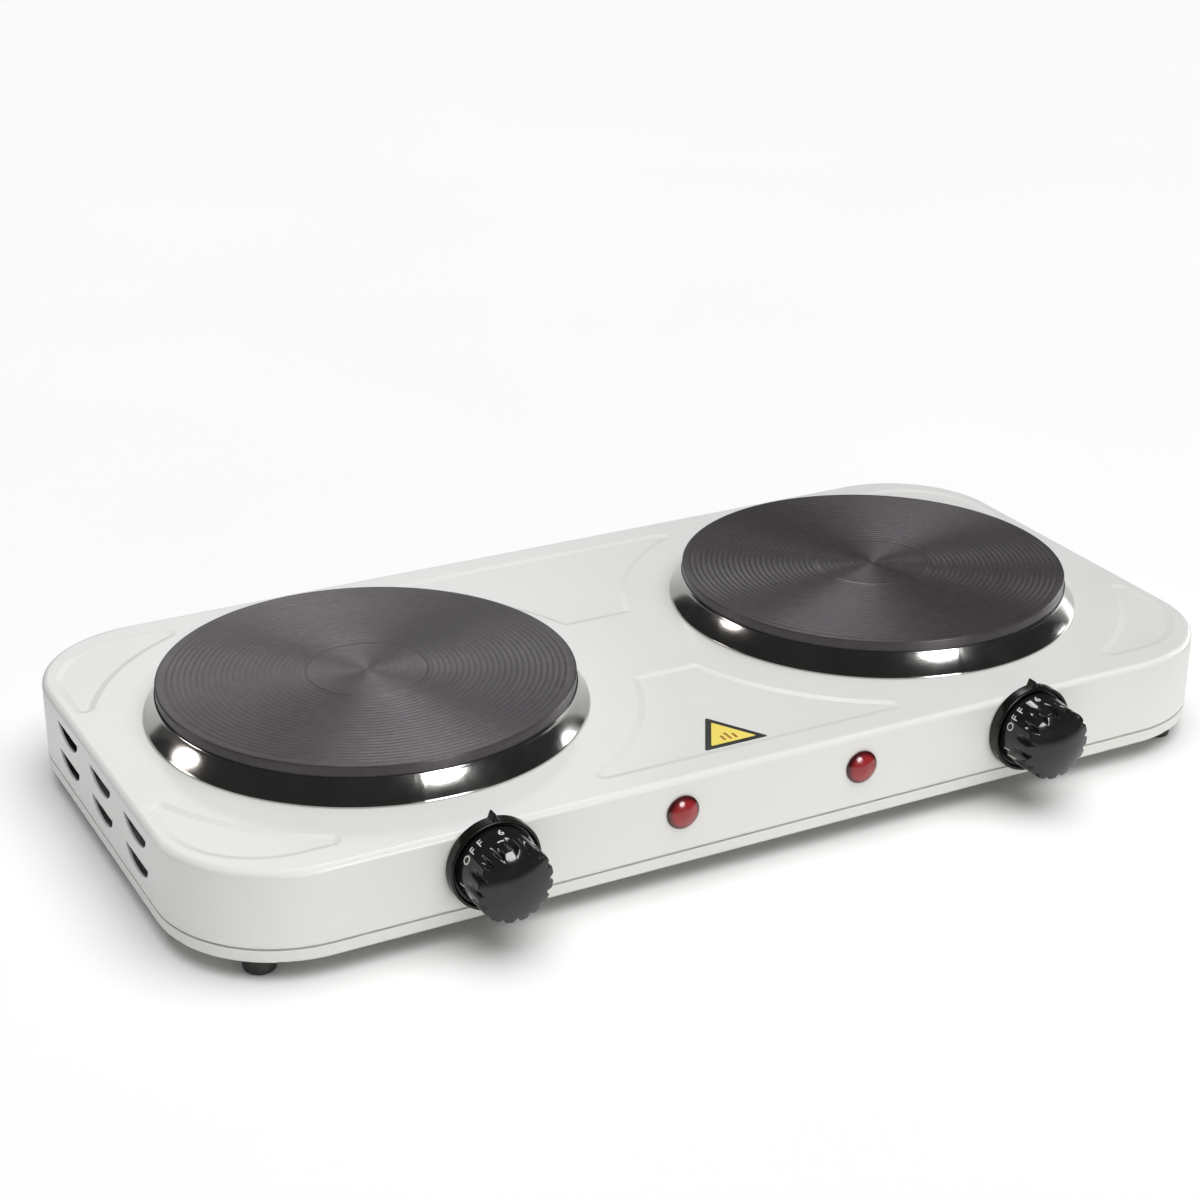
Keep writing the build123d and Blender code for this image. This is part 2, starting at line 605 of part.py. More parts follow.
def knob(turn):
    """Control knob: smooth flared skirt, fluted grip edge and a domed face."""
    outline = [
        Line((0, KNOB_BACK), (KNOB_BASE_R - 0.4, KNOB_BACK)),
        Line((KNOB_BASE_R - 0.4, KNOB_BACK), (KNOB_BASE_R, KNOB_BACK + 0.5)),
        ThreePointArc((KNOB_BASE_R, KNOB_BACK + 0.5), (KNOB_WAIST_R, 13.0), (KNOB_FACE_R, KNOB_FACE - 0.8)),
        Line((KNOB_FACE_R, KNOB_FACE - 0.8), (KNOB_FACE_R - 0.8, KNOB_FACE)),
        dome(KNOB_FACE_R - 0.8, KNOB_FACE, KNOB_REACH),
        Line((0, KNOB_REACH), (0, KNOB_BACK)),
    ]
    body = revolve(Plane.XZ * make_face(outline), Axis.Z)
    for i in range(FLUTES):
        axis = Pos(FLUTE_VALLEY_R + FLUTE_R, 0, KNOB_FACE) * Rot(0, -FLUTE_TILT, 0)
        body -= Rot(0, 0, turn + i * 360 / FLUTES) * axis * Cylinder(FLUTE_R, 36)
    bore = extrude(Pos(0, 0, KNOB_BACK - 1) * d_section(SHAFT_R + RUNNING, SHAFT_FLAT),
                   SHAFT_TIP - KNOB_BACK + 1.2)
    return body - bore


def indicator_lens():
    """Red lens: domed flange outside the wall and a stem through it."""
    outline = [
        Line((0, LENS_STEM_END), (LENS_STEM_R, LENS_STEM_END)),
        Line((LENS_STEM_R, LENS_STEM_END), (LENS_STEM_R, 0)),
        Line((LENS_STEM_R, 0), (LENS_R, 0)),
        Line((LENS_R, 0), (LENS_R, LENS_EDGE)),
        dome(LENS_R, LENS_EDGE, LENS_REACH),
        Line((0, LENS_REACH), (0, LENS_STEM_END)),
    ]
    return revolve(Plane.XZ * make_face(outline), Axis.Z)


def indicator_lamp():
    """Neon lamp in its holder behind the lens."""
    lamp = rod(LAMP_R, LAMP_END, LENS_STEM_END)
    for x in (-LAMP_PIN_X, LAMP_PIN_X):
        lamp += Pos(x, 0, 0) * rod(LAMP_PIN_R, LAMP_PIN_END, LAMP_END + OVERLAP)
    return lamp


def warning_label():
    """Triangular sticker with rounded corners, in the front middle pocket."""
    triangle = RegularPolygon(LABEL_SIDE / 3 ** 0.5, 3, rotation=90)
    triangle = offset(offset(triangle, -LABEL_ROUND), LABEL_ROUND)
    floor = TOP_Z - POCKET_DEPTH
    return Pos(LABEL_X, BODY_Y + LABEL_Y_OFFSET, floor) * extrude(triangle, LABEL_T)


# ---- mains entry ------------------------------------------------------------------------------
def cord_gland():
    """Rubber gland in the back wall: outer nose, neck through the wall and inner collar."""
    collar = GLAND_NECK_R + GLAND_COLLAR
    lip = GLAND_NECK_R + GLAND_LIP
    return on_back(turned((GLAND_BORE_R, -GLAND_INSIDE), (collar, -GLAND_INSIDE), (collar, -SHEET),
                          (GLAND_NECK_R, -SHEET), (GLAND_NECK_R, 0), (lip, 0), (lip, 2),
                          (GLAND_NECK_R, GLAND_REACH), (GLAND_BORE_R, GLAND_REACH)))


def cord_clamp():
    """Two-part cord clamp on a post inside, open where the cord passes."""
    inner = BACK_Y - CLAMP_FROM - CLAMP_T
    clamp = block((-CLAMP_W / 2, CLAMP_W / 2), (inner, inner + CLAMP_T), (FLOOR_Z, TRAY_Z + GLAND_H + 8))
    clamp = fillet(clamp.edges().filter_by(Axis.Y).group_by(Axis.Z)[-1], 3)
    return clamp - on_back(rod(GLAND_BORE_R + 0.4, -30, 0))


def mains_block():
    """Three-way terminal block on the tray's floor."""
    depth = (MAINS_FRONT, MAINS_FRONT + MAINS_T)
    case = block((-MAINS_W / 2, MAINS_W / 2), depth, (FLOOR_Z, FLOOR_Z + MAINS_H))
    case = fillet(case.edges().group_by(Axis.Z)[-1], 1)
    for x in MAINS_WAYS:
        well = rod(MAINS_SCREW_R + HOLE_SLACK, FLOOR_Z + 4, FLOOR_Z + 12)
        case -= Pos(x, MAINS_FRONT + MAINS_T / 2, 0) * well
    return case


def mains_screws():
    """Clamping screws of the terminal block."""
    screw = rod(MAINS_SCREW_R, FLOOR_Z + 4, FLOOR_Z + 8) - Pos(0, 0, FLOOR_Z + 8) * Box(4.2, 0.8, 1.6)
    return together([Pos(x, MAINS_FRONT + MAINS_T / 2, 0) * screw for x in MAINS_WAYS])


def earth_stud():
    """Earth screw through the tray's floor, with its nut inside."""
    tip = FLOOR_Z + 1 + NUT_T + SCREW_GRIP
    screw = pan_screw(EARTH_R, BASE_HEAD_R, TRAY_Z - BASE_HEAD_T, BASE_HEAD_T, tip)
    return Pos(EARTH_X, EARTH_Y, 0) * screw


def earth_nut():
    """Nut and lug on the earth screw."""
    bore = EARTH_R + DRIVEN_SLACK
    lug = tube(LUG_R, bore, FLOOR_Z, FLOOR_Z + 1)
    return Pos(EARTH_X, EARTH_Y, 0) * (lug + hex_nut(NUT_ACROSS, bore, FLOOR_Z + 1, FLOOR_Z + 1 + NUT_T))


# ---- internal wiring --------------------------------------------------------------------------
def supply_wires():
    """Live wires from the terminal block to the inner tab of each thermostat."""
    wires = []
    for _, side in SIDES:
        x = side * (CONTROL_X - TAB_X)
        way = side * MAINS_WAYS[-1]
        wires.append(wire(WIRE_R, WIRE_BEND, (way, MAINS_FRONT, WIRE_Z), (way, MAINS_FRONT - 20, WIRE_Z),
                          (x, -20, WIRE_Z), (x, TAB_BACK + 32, WIRE_Z), (x, TAB_BACK + 14, TAB_Z),
                          (x, TAB_BACK, TAB_Z)))
    return together(wires)


def heater_wires():
    """Switched wires from the outer tab of each thermostat to the heater's outer post."""
    wires = []
    y = PLATE_Y + TERMINAL_Y
    z = TAB_Z - 3
    for _, side in SIDES:
        x = side * (CONTROL_X + TAB_X)
        post_x = side * (PLATE_X + TERMINAL_X)
        wires.append(wire(WIRE_R, WIRE_BEND, (x, TAB_BACK, TAB_Z), (x, TAB_BACK + 16, TAB_Z),
                          (post_x, y - 20, z), (post_x, y, z), (post_x, y, POST_Z)))
    return together(wires)


def neutral_wires():
    """Neutral wires from the terminal block's middle to the heater's inner post."""
    wires = []
    y = PLATE_Y + TERMINAL_Y
    z = TAB_Z - 3
    for _, side in SIDES:
        x = side * 2
        post_x = side * (PLATE_X - TERMINAL_X)
        wires.append(wire(WIRE_R, SHORT_BEND, (x, MAINS_FRONT, WIRE_Z), (x, MAINS_FRONT - 8, WIRE_Z),
                          (x, MAINS_FRONT - 20, z), (side * 30, y + 10, z), (post_x - side * 20, y, z),
                          (post_x, y, z), (post_x, y, POST_Z)))
    return together(wires)


def earth_wire():
    """Green-yellow wire from the cord's side of the terminal block to the earth lug's flank."""
    z = FLOOR_Z + 1 + NUT_T / 2
    y = EARTH_Y + EARTH_WIRE_OUT
    return wire(WIRE_R, SHORT_BEND, (MAINS_WAYS[-1], MAINS_FRONT + MAINS_T, z), (MAINS_WAYS[-1], y, z),
                (EARTH_X, y, z), (EARTH_X, EARTH_Y + NUT_ACROSS / 2, z))


# ---- writing ----------------------------------------------------------------------------------
def main():
    os.makedirs("parts", exist_ok=True)
    nodes = {
        "body_shell": body_shell(),
        "base_tray": base_tray(),
        "shell_brackets": shell_brackets(),
        "base_screws": base_screws(),
        "feet": feet(),
        "foot_screws": foot_screws(),
        "foot_nuts": foot_nuts(),
        "heater_terminals": heater_terminals(),
        "thermostat_tabs": thermostat_tabs(),
        "bezel_screws": bezel_screws(),
        "warning_label": warning_label(),
        "cord_gland": cord_gland(),
        "cord_clamp": cord_clamp(),
        "mains_block": mains_block(),
        "mains_screws": mains_screws(),
        "earth_stud": earth_stud(),
        "earth_nut": earth_nut(),
        "supply_wires": supply_wires(),
        "heater_wires": heater_wires(),
        "neutral_wires": neutral_wires(),
        "earth_wire": earth_wire(),
    }
    for name, side in SIDES:
        nodes[f"hot_plate_{name}"] = on_plate(side, hot_plate())
        nodes[f"trim_ring_{name}"] = on_plate(side, trim_ring())
        nodes[f"heater_ceramic_{name}"] = on_plate(side, heater_ceramic())
        nodes[f"heater_coils_{name}"] = on_plate(side, heater_coils())
        nodes[f"heater_cover_{name}"] = on_plate(side, heater_cover())
        nodes[f"centre_stud_{name}"] = on_plate(side, centre_stud())
        nodes[f"stud_nut_{name}"] = on_plate(side, stud_nut())
        nodes[f"clamping_bar_{name}"] = on_plate(side, clamping_bar())
        nodes[f"heat_shield_{name}"] = on_plate(side, heat_shield())
        nodes[f"heater_terminal_block_{name}"] = on_plate(side, heater_terminal_block())
        nodes[f"thermostat_{name}"] = on_front(side * CONTROL_X, thermostat())
        nodes[f"thermostat_shaft_{name}"] = on_front(side * CONTROL_X, thermostat_shaft())
        nodes[f"dial_bezel_{name}"] = on_front(side * CONTROL_X, dial_bezel())
        nodes[f"indicator_lens_{name}"] = on_front(side * LAMP_X, indicator_lens())
        nodes[f"indicator_lamp_{name}"] = on_front(side * LAMP_X, indicator_lamp())
    nodes["knob_left"] = on_front(-CONTROL_X, knob(LEFT_TURN))
    nodes["knob_right"] = on_front(CONTROL_X, knob(RIGHT_TURN))
    for name, part in nodes.items():
        export_step(part, f"parts/{name}.step")


main()
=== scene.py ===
import json
from math import asin, cos, pi, radians, sin, sqrt

import bmesh
import bpy
from mathutils import Matrix, Vector


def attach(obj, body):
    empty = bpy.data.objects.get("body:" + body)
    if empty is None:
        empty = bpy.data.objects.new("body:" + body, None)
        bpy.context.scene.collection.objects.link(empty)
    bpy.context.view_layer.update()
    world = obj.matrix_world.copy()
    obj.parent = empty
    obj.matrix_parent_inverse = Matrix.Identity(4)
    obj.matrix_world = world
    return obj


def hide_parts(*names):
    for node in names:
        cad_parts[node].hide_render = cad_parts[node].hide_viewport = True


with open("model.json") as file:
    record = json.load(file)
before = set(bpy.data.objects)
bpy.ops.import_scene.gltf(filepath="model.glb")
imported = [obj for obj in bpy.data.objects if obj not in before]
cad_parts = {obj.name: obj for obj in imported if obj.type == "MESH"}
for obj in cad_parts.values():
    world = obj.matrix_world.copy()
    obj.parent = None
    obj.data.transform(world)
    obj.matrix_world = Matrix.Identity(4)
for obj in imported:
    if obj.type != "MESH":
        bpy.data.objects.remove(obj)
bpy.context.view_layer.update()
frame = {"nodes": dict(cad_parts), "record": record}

MM = 0.001

# ---- the object's own sizes, in millimetres, in the CAD frame ----------------------------------
FRONT_Y = -113.0
BODY_Y = 7.0
CONTROL_Z = 31.8
CONTROL_X = 124.6
LAMP_X = 41.7
PLATE_X = 124.4
PLATE_Y = 5.6
PLATE_TOP = 61.6
PLATE_BOTTOM = 48.6
PLATE_R = 86.5
TOP_Z = 46.5
COVER_Z = 47.8
BACK_Y = 127.0
GLAND_Z = 26.0
LENS_R = 7.15


# ---- materials ---------------------------------------------------------------------------------
def shader(name):
    """A new material with its principled shader and object coordinates."""
    mat = bpy.data.materials.new(name)
    mat.use_nodes = True
    tree = mat.node_tree
    coords = tree.nodes.new("ShaderNodeTexCoord")
    return mat, tree, tree.nodes["Principled BSDF"], coords.outputs["Object"]


def noise(tree, coords, scale, detail=4.0, rough=0.55, stretch=(1, 1, 1)):
    """A noise texture's value, optionally stretched along the axes."""
    mapping = tree.nodes.new("ShaderNodeMapping")
    mapping.inputs["Scale"].default_value = stretch
    tree.links.new(coords, mapping.inputs["Vector"])
    node = tree.nodes.new("ShaderNodeTexNoise")
    node.inputs["Scale"].default_value = scale
    node.inputs["Detail"].default_value = detail
    node.inputs["Roughness"].default_value = rough
    tree.links.new(mapping.outputs["Vector"], node.inputs["Vector"])
    return node.outputs["Fac"]


def ramp(tree, value, *stops):
    """A colour ramp through (position, colour) stops."""
    node = tree.nodes.new("ShaderNodeValToRGB")
    elements = node.color_ramp.elements
    while len(elements) < len(stops):
        elements.new(0.5)
    for element, (place, colour) in zip(elements, stops):
        element.position = place
        element.color = (*colour, 1)
    tree.links.new(value, node.inputs["Fac"])
    return node.outputs["Color"]


def spread(tree, value, low, high):
    """A value from 0.3..0.7 mapped to low..high."""
    node = tree.nodes.new("ShaderNodeMapRange")
    node.inputs["From Min"].default_value = 0.3
    node.inputs["From Max"].default_value = 0.7
    node.inputs["To Min"].default_value = low
    node.inputs["To Max"].default_value = high
    tree.links.new(value, node.inputs["Value"])
    return node.outputs["Result"]


def mixed(tree, factor, first, second):
    """Two colours mixed by a value; each is a socket or an (r, g, b)."""
    node = tree.nodes.new("ShaderNodeMix")
    node.data_type = "RGBA"
    tree.links.new(factor, node.inputs["Factor"])
    for key, item in (("A", first), ("B", second)):
        socket = [s for s in node.inputs if s.name == key and s.type == "RGBA"][0]
        if isinstance(item, tuple):
            socket.default_value = (*item, 1)
        else:
            tree.links.new(item, socket)
    return [s for s in node.outputs if s.type == "RGBA"][0]


def bumped(tree, bsdf, height, strength, depth):
    """Adds a bump to a shader's normal, its depth in millimetres."""
    node = tree.nodes.new("ShaderNodeBump")
    node.inputs["Strength"].default_value = strength
    node.inputs["Distance"].default_value = depth * MM
    tree.links.new(height, node.inputs["Height"])
    if bsdf.inputs["Normal"].links:
        tree.links.new(bsdf.inputs["Normal"].links[0].from_socket, node.inputs["Normal"])
    tree.links.new(node.outputs["Normal"], bsdf.inputs["Normal"])


def edge_wear(tree, width, low, high):
    """A mask that is 1 along worn convex edges, from the difference of a rounded normal."""
    bevel = tree.nodes.new("ShaderNodeBevel")
    bevel.samples = 4
    bevel.inputs["Radius"].default_value = width * MM
    geometry = tree.nodes.new("ShaderNodeNewGeometry")
    dot = tree.nodes.new("ShaderNodeVectorMath")
    dot.operation = "DOT_PRODUCT"
    tree.links.new(bevel.outputs["Normal"], dot.inputs[0])
    tree.links.new(geometry.outputs["Normal"], dot.inputs[1])
    node = tree.nodes.new("ShaderNodeMapRange")
    node.inputs["From Min"].default_value = high
    node.inputs["From Max"].default_value = low
    tree.links.new(dot.outputs["Value"], node.inputs["Value"])
    return node.outputs["Result"]


# Edge wear: the rounding width in millimetres, and the normals' dot product where wear is full and starts.
WEAR_WIDTH = 0.35
ENAMEL_WEAR_WIDTH = 0.5
IRON_WEAR_WIDTH = 0.2
WEAR_RANGE = (0.80, 0.97)
IRON_WEAR_RANGE = (0.75, 0.97)


def finish_of(name, dark, light, grain, rough, metal=0.0, bump=0.0, bump_scale=900.0, coat=0.0,
              specular=0.5, wear=None):
    """A procedural finish: mottled colour, uneven roughness, fine bump, and lighter worn edges."""
    mat, tree, bsdf, coords = shader(name)
    mottle = noise(tree, coords, grain, 5)
    colour = ramp(tree, mottle, (0.3, dark), (0.7, light))
    if wear:
        colour = mixed(tree, edge_wear(tree, WEAR_WIDTH, *WEAR_RANGE), colour, wear)
    tree.links.new(colour, bsdf.inputs["Base Color"])
    smudge = noise(tree, coords, grain * 0.35, 3)
    tree.links.new(spread(tree, smudge, *rough), bsdf.inputs["Roughness"])
    bsdf.inputs["Metallic"].default_value = metal
    bsdf.inputs["Specular IOR Level"].default_value = specular
    bsdf.inputs["Coat Weight"].default_value = coat
    bsdf.inputs["Coat Roughness"].default_value = 0.05
    if bump:
        bumped(tree, bsdf, noise(tree, coords, bump_scale, 3), 0.5, bump)
    return mat


def enamel_finish(name, dark, light):
    """Baked white enamel: slight orange peel under a glossy skin."""
    mat, tree, bsdf, coords = shader(name)
    cloud = noise(tree, coords, 9, 3)
    colour = ramp(tree, cloud, (0.3, dark), (0.7, light))
    worn = tuple(c * 1.04 for c in light)
    colour = mixed(tree, edge_wear(tree, ENAMEL_WEAR_WIDTH, *WEAR_RANGE), colour, worn)
    tree.links.new(colour, bsdf.inputs["Base Color"])
    tree.links.new(spread(tree, noise(tree, coords, 30, 3), 0.34, 0.42), bsdf.inputs["Roughness"])
    bsdf.inputs["Coat Weight"].default_value = 0.25
    bsdf.inputs["Coat Roughness"].default_value = 0.14
    bumped(tree, bsdf, noise(tree, coords, 420, 2), 0.2, 0.025)
    return mat


def iron_finish(name):
    """Turned cast iron with a baked black-grey coating.

    The gloss is stretched across the turning marks, which makes the two bright wedges of a turned disc.
    """
    mat, tree, bsdf, coords = shader(name)
    cast = noise(tree, coords, 240, 6, 0.65)
    cloud = noise(tree, coords, 22, 3)
    base = ramp(tree, cast, (0.25, (0.080, 0.073, 0.079)), (0.6, (0.106, 0.096, 0.104)),
                (0.85, (0.128, 0.117, 0.126)))
    base = mixed(tree, spread(tree, cloud, 0.0, 0.35), base, (0.106, 0.099, 0.109))
    worn = edge_wear(tree, IRON_WEAR_WIDTH, *IRON_WEAR_RANGE)
    tree.links.new(mixed(tree, worn, base, (0.085, 0.079, 0.083)), bsdf.inputs["Base Color"])
    bsdf.inputs["Metallic"].default_value = 0.55
    bsdf.inputs["Specular IOR Level"].default_value = 0.45
    bsdf.inputs["Anisotropic"].default_value = 0.85
    bsdf.inputs["Anisotropic Rotation"].default_value = 0.25
    tangent = tree.nodes.new("ShaderNodeTangent")
    tangent.direction_type = "RADIAL"
    tangent.axis = "Z"
    tree.links.new(tangent.outputs["Tangent"], bsdf.inputs["Tangent"])
    tree.links.new(spread(tree, cloud, 0.34, 0.42), bsdf.inputs["Roughness"])
    rings = tree.nodes.new("ShaderNodeTexWave")
    rings.wave_type = "RINGS"
    rings.rings_direction = "Z"
    rings.inputs["Scale"].default_value = 1100
    rings.inputs["Distortion"].default_value = 0.6
    rings.inputs["Detail"].default_value = 2
    tree.links.new(coords, rings.inputs["Vector"])
    bumped(tree, bsdf, rings.outputs["Fac"], 0.35, 0.012)
    bumped(tree, bsdf, noise(tree, coords, 1500, 3), 0.4, 0.02)
    return mat


def steel_finish(name, tint, rough):
    """Polished steel, with faint turning lines, handling marks and a slightly uneven surface."""
    mat, tree, bsdf, coords = shader(name)
    cloud = noise(tree, coords, 35, 4)
    base = ramp(tree, cloud, (0.3, tuple(c * 0.86 for c in tint)), (0.7, tint))
    tree.links.new(base, bsdf.inputs["Base Color"])
    bsdf.inputs["Metallic"].default_value = 1.0
    tree.links.new(spread(tree, noise(tree, coords, 70, 4), *rough), bsdf.inputs["Roughness"])
    bumped(tree, bsdf, noise(tree, coords, 60, 2), 0.25, 0.05)
    bumped(tree, bsdf, noise(tree, coords, 900, 2, stretch=(1, 1, 6)), 0.2, 0.004)
    return mat


def maths(tree, operation, first, second=0.0):
    """A math node on sockets or numbers."""
    node = tree.nodes.new("ShaderNodeMath")
    node.operation = operation
    for socket, item in zip(node.inputs, (first, second)):
        if isinstance(item, (int, float)):
            socket.default_value = item
        else:
            tree.links.new(item, socket)
    return node.outputs["Value"]


def lens_distance(tree, coords):
    """Distance from the nearer lens's axis, as a share of its radius."""
    axes = tree.nodes.new("ShaderNodeSeparateXYZ")
    tree.links.new(coords, axes.inputs["Vector"])
    across = maths(tree, "SUBTRACT", maths(tree, "ABSOLUTE", axes.outputs["X"]), LAMP_X * MM)
    up = maths(tree, "SUBTRACT", axes.outputs["Z"], CONTROL_Z * MM)
    square = maths(tree, "ADD", maths(tree, "MULTIPLY", across, across), maths(tree, "MULTIPLY", up, up))
    return maths(tree, "DIVIDE", maths(tree, "SQRT", square), LENS_R * MM)


def lens_finish(name):
    """Translucent red lens plastic, with painted shade darkening it towards its rim."""
    mat, tree, bsdf, coords = shader(name)
    cloud = noise(tree, coords, 300, 3)
    base = ramp(tree, cloud, (0.3, (0.36, 0.020, 0.024)), (0.7, (0.43, 0.030, 0.034)))
    # Painted shade: the lens colour is darkened towards its rim, where the lit lens looks darker.
    rim = ramp(tree, lens_distance(tree, coords), (0.70, (0, 0, 0)), (0.92, (1, 1, 1)))
    tree.links.new(mixed(tree, rim, base, (0.07, 0.008, 0.010)), bsdf.inputs["Base Color"])
    bsdf.inputs["Transmission Weight"].default_value = 0.25
    bsdf.inputs["Subsurface Weight"].default_value = 0.15
    bsdf.inputs["Subsurface Radius"].default_value = (0.004, 0.0006, 0.0006)
    bsdf.inputs["Coat Weight"].default_value = 0.3
    bsdf.inputs["Coat Roughness"].default_value = 0.03
    tree.links.new(spread(tree, cloud, 0.12, 0.18), bsdf.inputs["Roughness"])
    bumped(tree, bsdf, noise(tree, coords, 700, 2), 0.2, 0.01)
    return mat


ENAMEL = enamel_finish("enamel_white", (0.725, 0.725, 0.710), (0.755, 0.755, 0.740))
ENAMEL_TRAY = enamel_finish("enamel_tray", (0.705, 0.705, 0.685), (0.740, 0.740, 0.720))
IRON = iron_finish("cast_iron_turned")
STEEL = steel_finish("polished_steel", (0.62, 0.61, 0.59), (0.10, 0.17))
KNOB_BLACK = finish_of("knob_black_gloss", (0.010, 0.010, 0.011), (0.016, 0.016, 0.017), 90, (0.06, 0.12),
                       bump=0.02, bump_scale=350, wear=(0.03, 0.03, 0.031))
BEZEL_BLACK = finish_of("bezel_black_satin", (0.005, 0.005, 0.004), (0.011, 0.011, 0.009), 160, (0.20, 0.30),
                        bump=0.03, specular=0.4, wear=(0.03, 0.03, 0.028))
MARK_WHITE = finish_of("dial_print_white", (0.52, 0.52, 0.50), (0.72, 0.72, 0.70), 700, (0.4, 0.5), bump=0.01)
LENS_RED = lens_finish("lens_red")
YELLOW = finish_of("sticker_yellow", (0.90, 0.72, 0.12), (0.96, 0.80, 0.17), 60, (0.30, 0.40), bump=0.01,
                   coat=0.3)
STICKER_BLACK = finish_of("sticker_black", (0.013, 0.012, 0.010), (0.03, 0.028, 0.025), 200, (0.35, 0.45),
                          bump=0.01)
STICKER_MARK = finish_of("sticker_mark", (0.30, 0.13, 0.02), (0.42, 0.20, 0.04), 400, (0.35, 0.45), bump=0.01)
RUBBER = finish_of("rubber_black", (0.012, 0.012, 0.012), (0.030, 0.029, 0.028), 250, (0.55, 0.75),
                   bump=0.08, bump_scale=1200)
PLASTIC_BLACK = finish_of("plastic_black", (0.02, 0.02, 0.02), (0.035, 0.035, 0.035), 250, (0.4, 0.5),
                          bump=0.04)
PLASTIC_WHITE = finish_of("plastic_white", (0.62, 0.61, 0.57), (0.72, 0.71, 0.67), 120, (0.35, 0.45),
                          bump=0.03)
BAKELITE = finish_of("bakelite_brown", (0.045, 0.022, 0.012), (0.085, 0.045, 0.025), 140, (0.3, 0.42),
                     bump=0.03)
CERAMIC = finish_of("ceramic_cream", (0.60, 0.57, 0.50), (0.74, 0.71, 0.64), 180, (0.55, 0.7), bump=0.06)
NICHROME = finish_of("nichrome", (0.22, 0.20, 0.18), (0.34, 0.31, 0.28), 300, (0.35, 0.5), 1.0, bump=0.03)
ALUMINISED = finish_of("aluminised_steel", (0.46, 0.46, 0.47), (0.62, 0.62, 0.63), 90, (0.32, 0.48), 1.0,
                       bump=0.03)
ZINC = finish_of("zinc_plated", (0.50, 0.49, 0.44), (0.66, 0.65, 0.60), 160, (0.26, 0.42), 1.0, bump=0.03)
BRASS = finish_of("brass", (0.56, 0.40, 0.16), (0.72, 0.54, 0.25), 200, (0.25, 0.4), 1.0, bump=0.02)
WIRE_BROWN = finish_of("wire_brown", (0.10, 0.045, 0.02), (0.16, 0.075, 0.035), 900, (0.5, 0.65), bump=0.1)
WIRE_WHITE = finish_of("wire_glass_braid", (0.58, 0.56, 0.50), (0.76, 0.74, 0.68), 1500, (0.6, 0.8),
                       bump=0.15)
WIRE_BLUE = finish_of("wire_blue", (0.02, 0.09, 0.30), (0.04, 0.14, 0.42), 900, (0.4, 0.55), bump=0.05)
WIRE_GREEN = finish_of("wire_green_yellow", (0.05, 0.26, 0.05), (0.62, 0.55, 0.05), 420, (0.4, 0.55),
                       bump=0.05)

FINISH_OF_SLOT = {
    "enamel": ENAMEL, "enamel_tray": ENAMEL_TRAY, "cast_iron": IRON, "polished_steel": STEEL,
    "knob_black": KNOB_BLACK, "bezel_black": BEZEL_BLACK, "lens_red": LENS_RED, "label_yellow": YELLOW,
    "rubber_black": RUBBER, "plastic_black": PLASTIC_BLACK, "plastic_white": PLASTIC_WHITE,
    "bakelite": BAKELITE, "ceramic": CERAMIC, "nichrome": NICHROME, "aluminised": ALUMINISED, "zinc": ZINC,
    "brass": BRASS, "wire_brown": WIRE_BROWN, "wire_white": WIRE_WHITE, "wire_blue": WIRE_BLUE,
    "wire_green": WIRE_GREEN,
}

for entry in frame["record"]["subparts"]:
    target = frame["nodes"][entry["node"]]
    for place in target.material_slots:
        place.material = FINISH_OF_SLOT[entry["material_slot"]]


# ---- mesh helpers ------------------------------------------------------------------------------
def built(name, verts, faces, mat, place=Matrix.Identity(4), sharp=35):
    """A mesh object from millimetre vertices, moved into place, smooth with sharp edges by angle."""
    mesh = bpy.data.meshes.new(name)
    mesh.from_pydata([Vector(v) * MM for v in verts], [], faces)
    bm = bmesh.new()
    bm.from_mesh(mesh)
    bmesh.ops.recalc_face_normals(bm, faces=bm.faces)
    bm.to_mesh(mesh)
    bm.free()
    mesh.transform(place)
    mesh.shade_smooth()
    mesh.set_sharp_from_angle(angle=radians(sharp))
    mesh.materials.append(mat)
    obj = bpy.data.objects.new(name, mesh)
    bpy.context.scene.collection.objects.link(obj)
    return obj


def lathe(name, profile, mat, place, segments, sharp, swell=None):
    """A solid of revolution about Z. A profile that starts on the axis ends on it, or else it closes."""
    verts, rows = [], []
    for r, z in profile:
        if r < 1e-6:
            rows.append([len(verts)])
            verts.append((0, 0, z))
            continue
        rows.append(list(range(len(verts), len(verts) + segments)))
        for i in range(segments):
            a = 2 * pi * i / segments
            reach = r + (swell(a, r, z) if swell else 0)
            verts.append((reach * cos(a), reach * sin(a), z))
    pairs = list(zip(rows, rows[1:]))
    if profile[0][0] > 1e-6:
        pairs.append((rows[-1], rows[0]))
    faces = []
    for low, high in pairs:
        for i in range(segments):
            j = (i + 1) % segments
            corners = [low[i % len(low)], low[j % len(low)], high[j % len(high)], high[i % len(high)]]
            faces.append(tuple(dict.fromkeys(corners)))
    return built(name, verts, faces, mat, place, sharp)


def arc(centre, radius, start, end, steps):
    """Points along an arc, angles in degrees."""
    return [(centre[0] + radius * cos(radians(start + (end - start) * i / steps)),
             centre[1] + radius * sin(radians(start + (end - start) * i / steps))) for i in range(steps + 1)]


def on_front(x):
    """Local +Z becomes outward from the front wall, and local Y stays up."""
    return Matrix.Translation(Vector((x, FRONT_Y, CONTROL_Z)) * MM) @ Matrix.Rotation(pi / 2, 4, "X")


def upright(x, y):
    """Stands a lathed piece on the worktop's plane at a place seen from above."""
    return Matrix.Translation(Vector((x, y, 0)) * MM)


# ---- hot plates and trim rings -------------------------------------------------------------------
GROOVES_FROM = 26.6
GROOVES_TO = 83.8
GROOVE_COUNT = 23
GROOVE_DEEP = 0.17
INNER_FROM = 3.2
INNER_TO = 24.4
INNER_GROOVE_PITCH = 2.5
INNER_GROOVE_DEEP = 0.07
INNER_RAISED = 0.28
DIMPLE_R = 2.6
PLATE_EDGE_ROUND = 0.7
HEATER_RECESS = (26, 78)
STUD_HOLE_R = 3.2
STUD_HOLE_TOP = 55.6


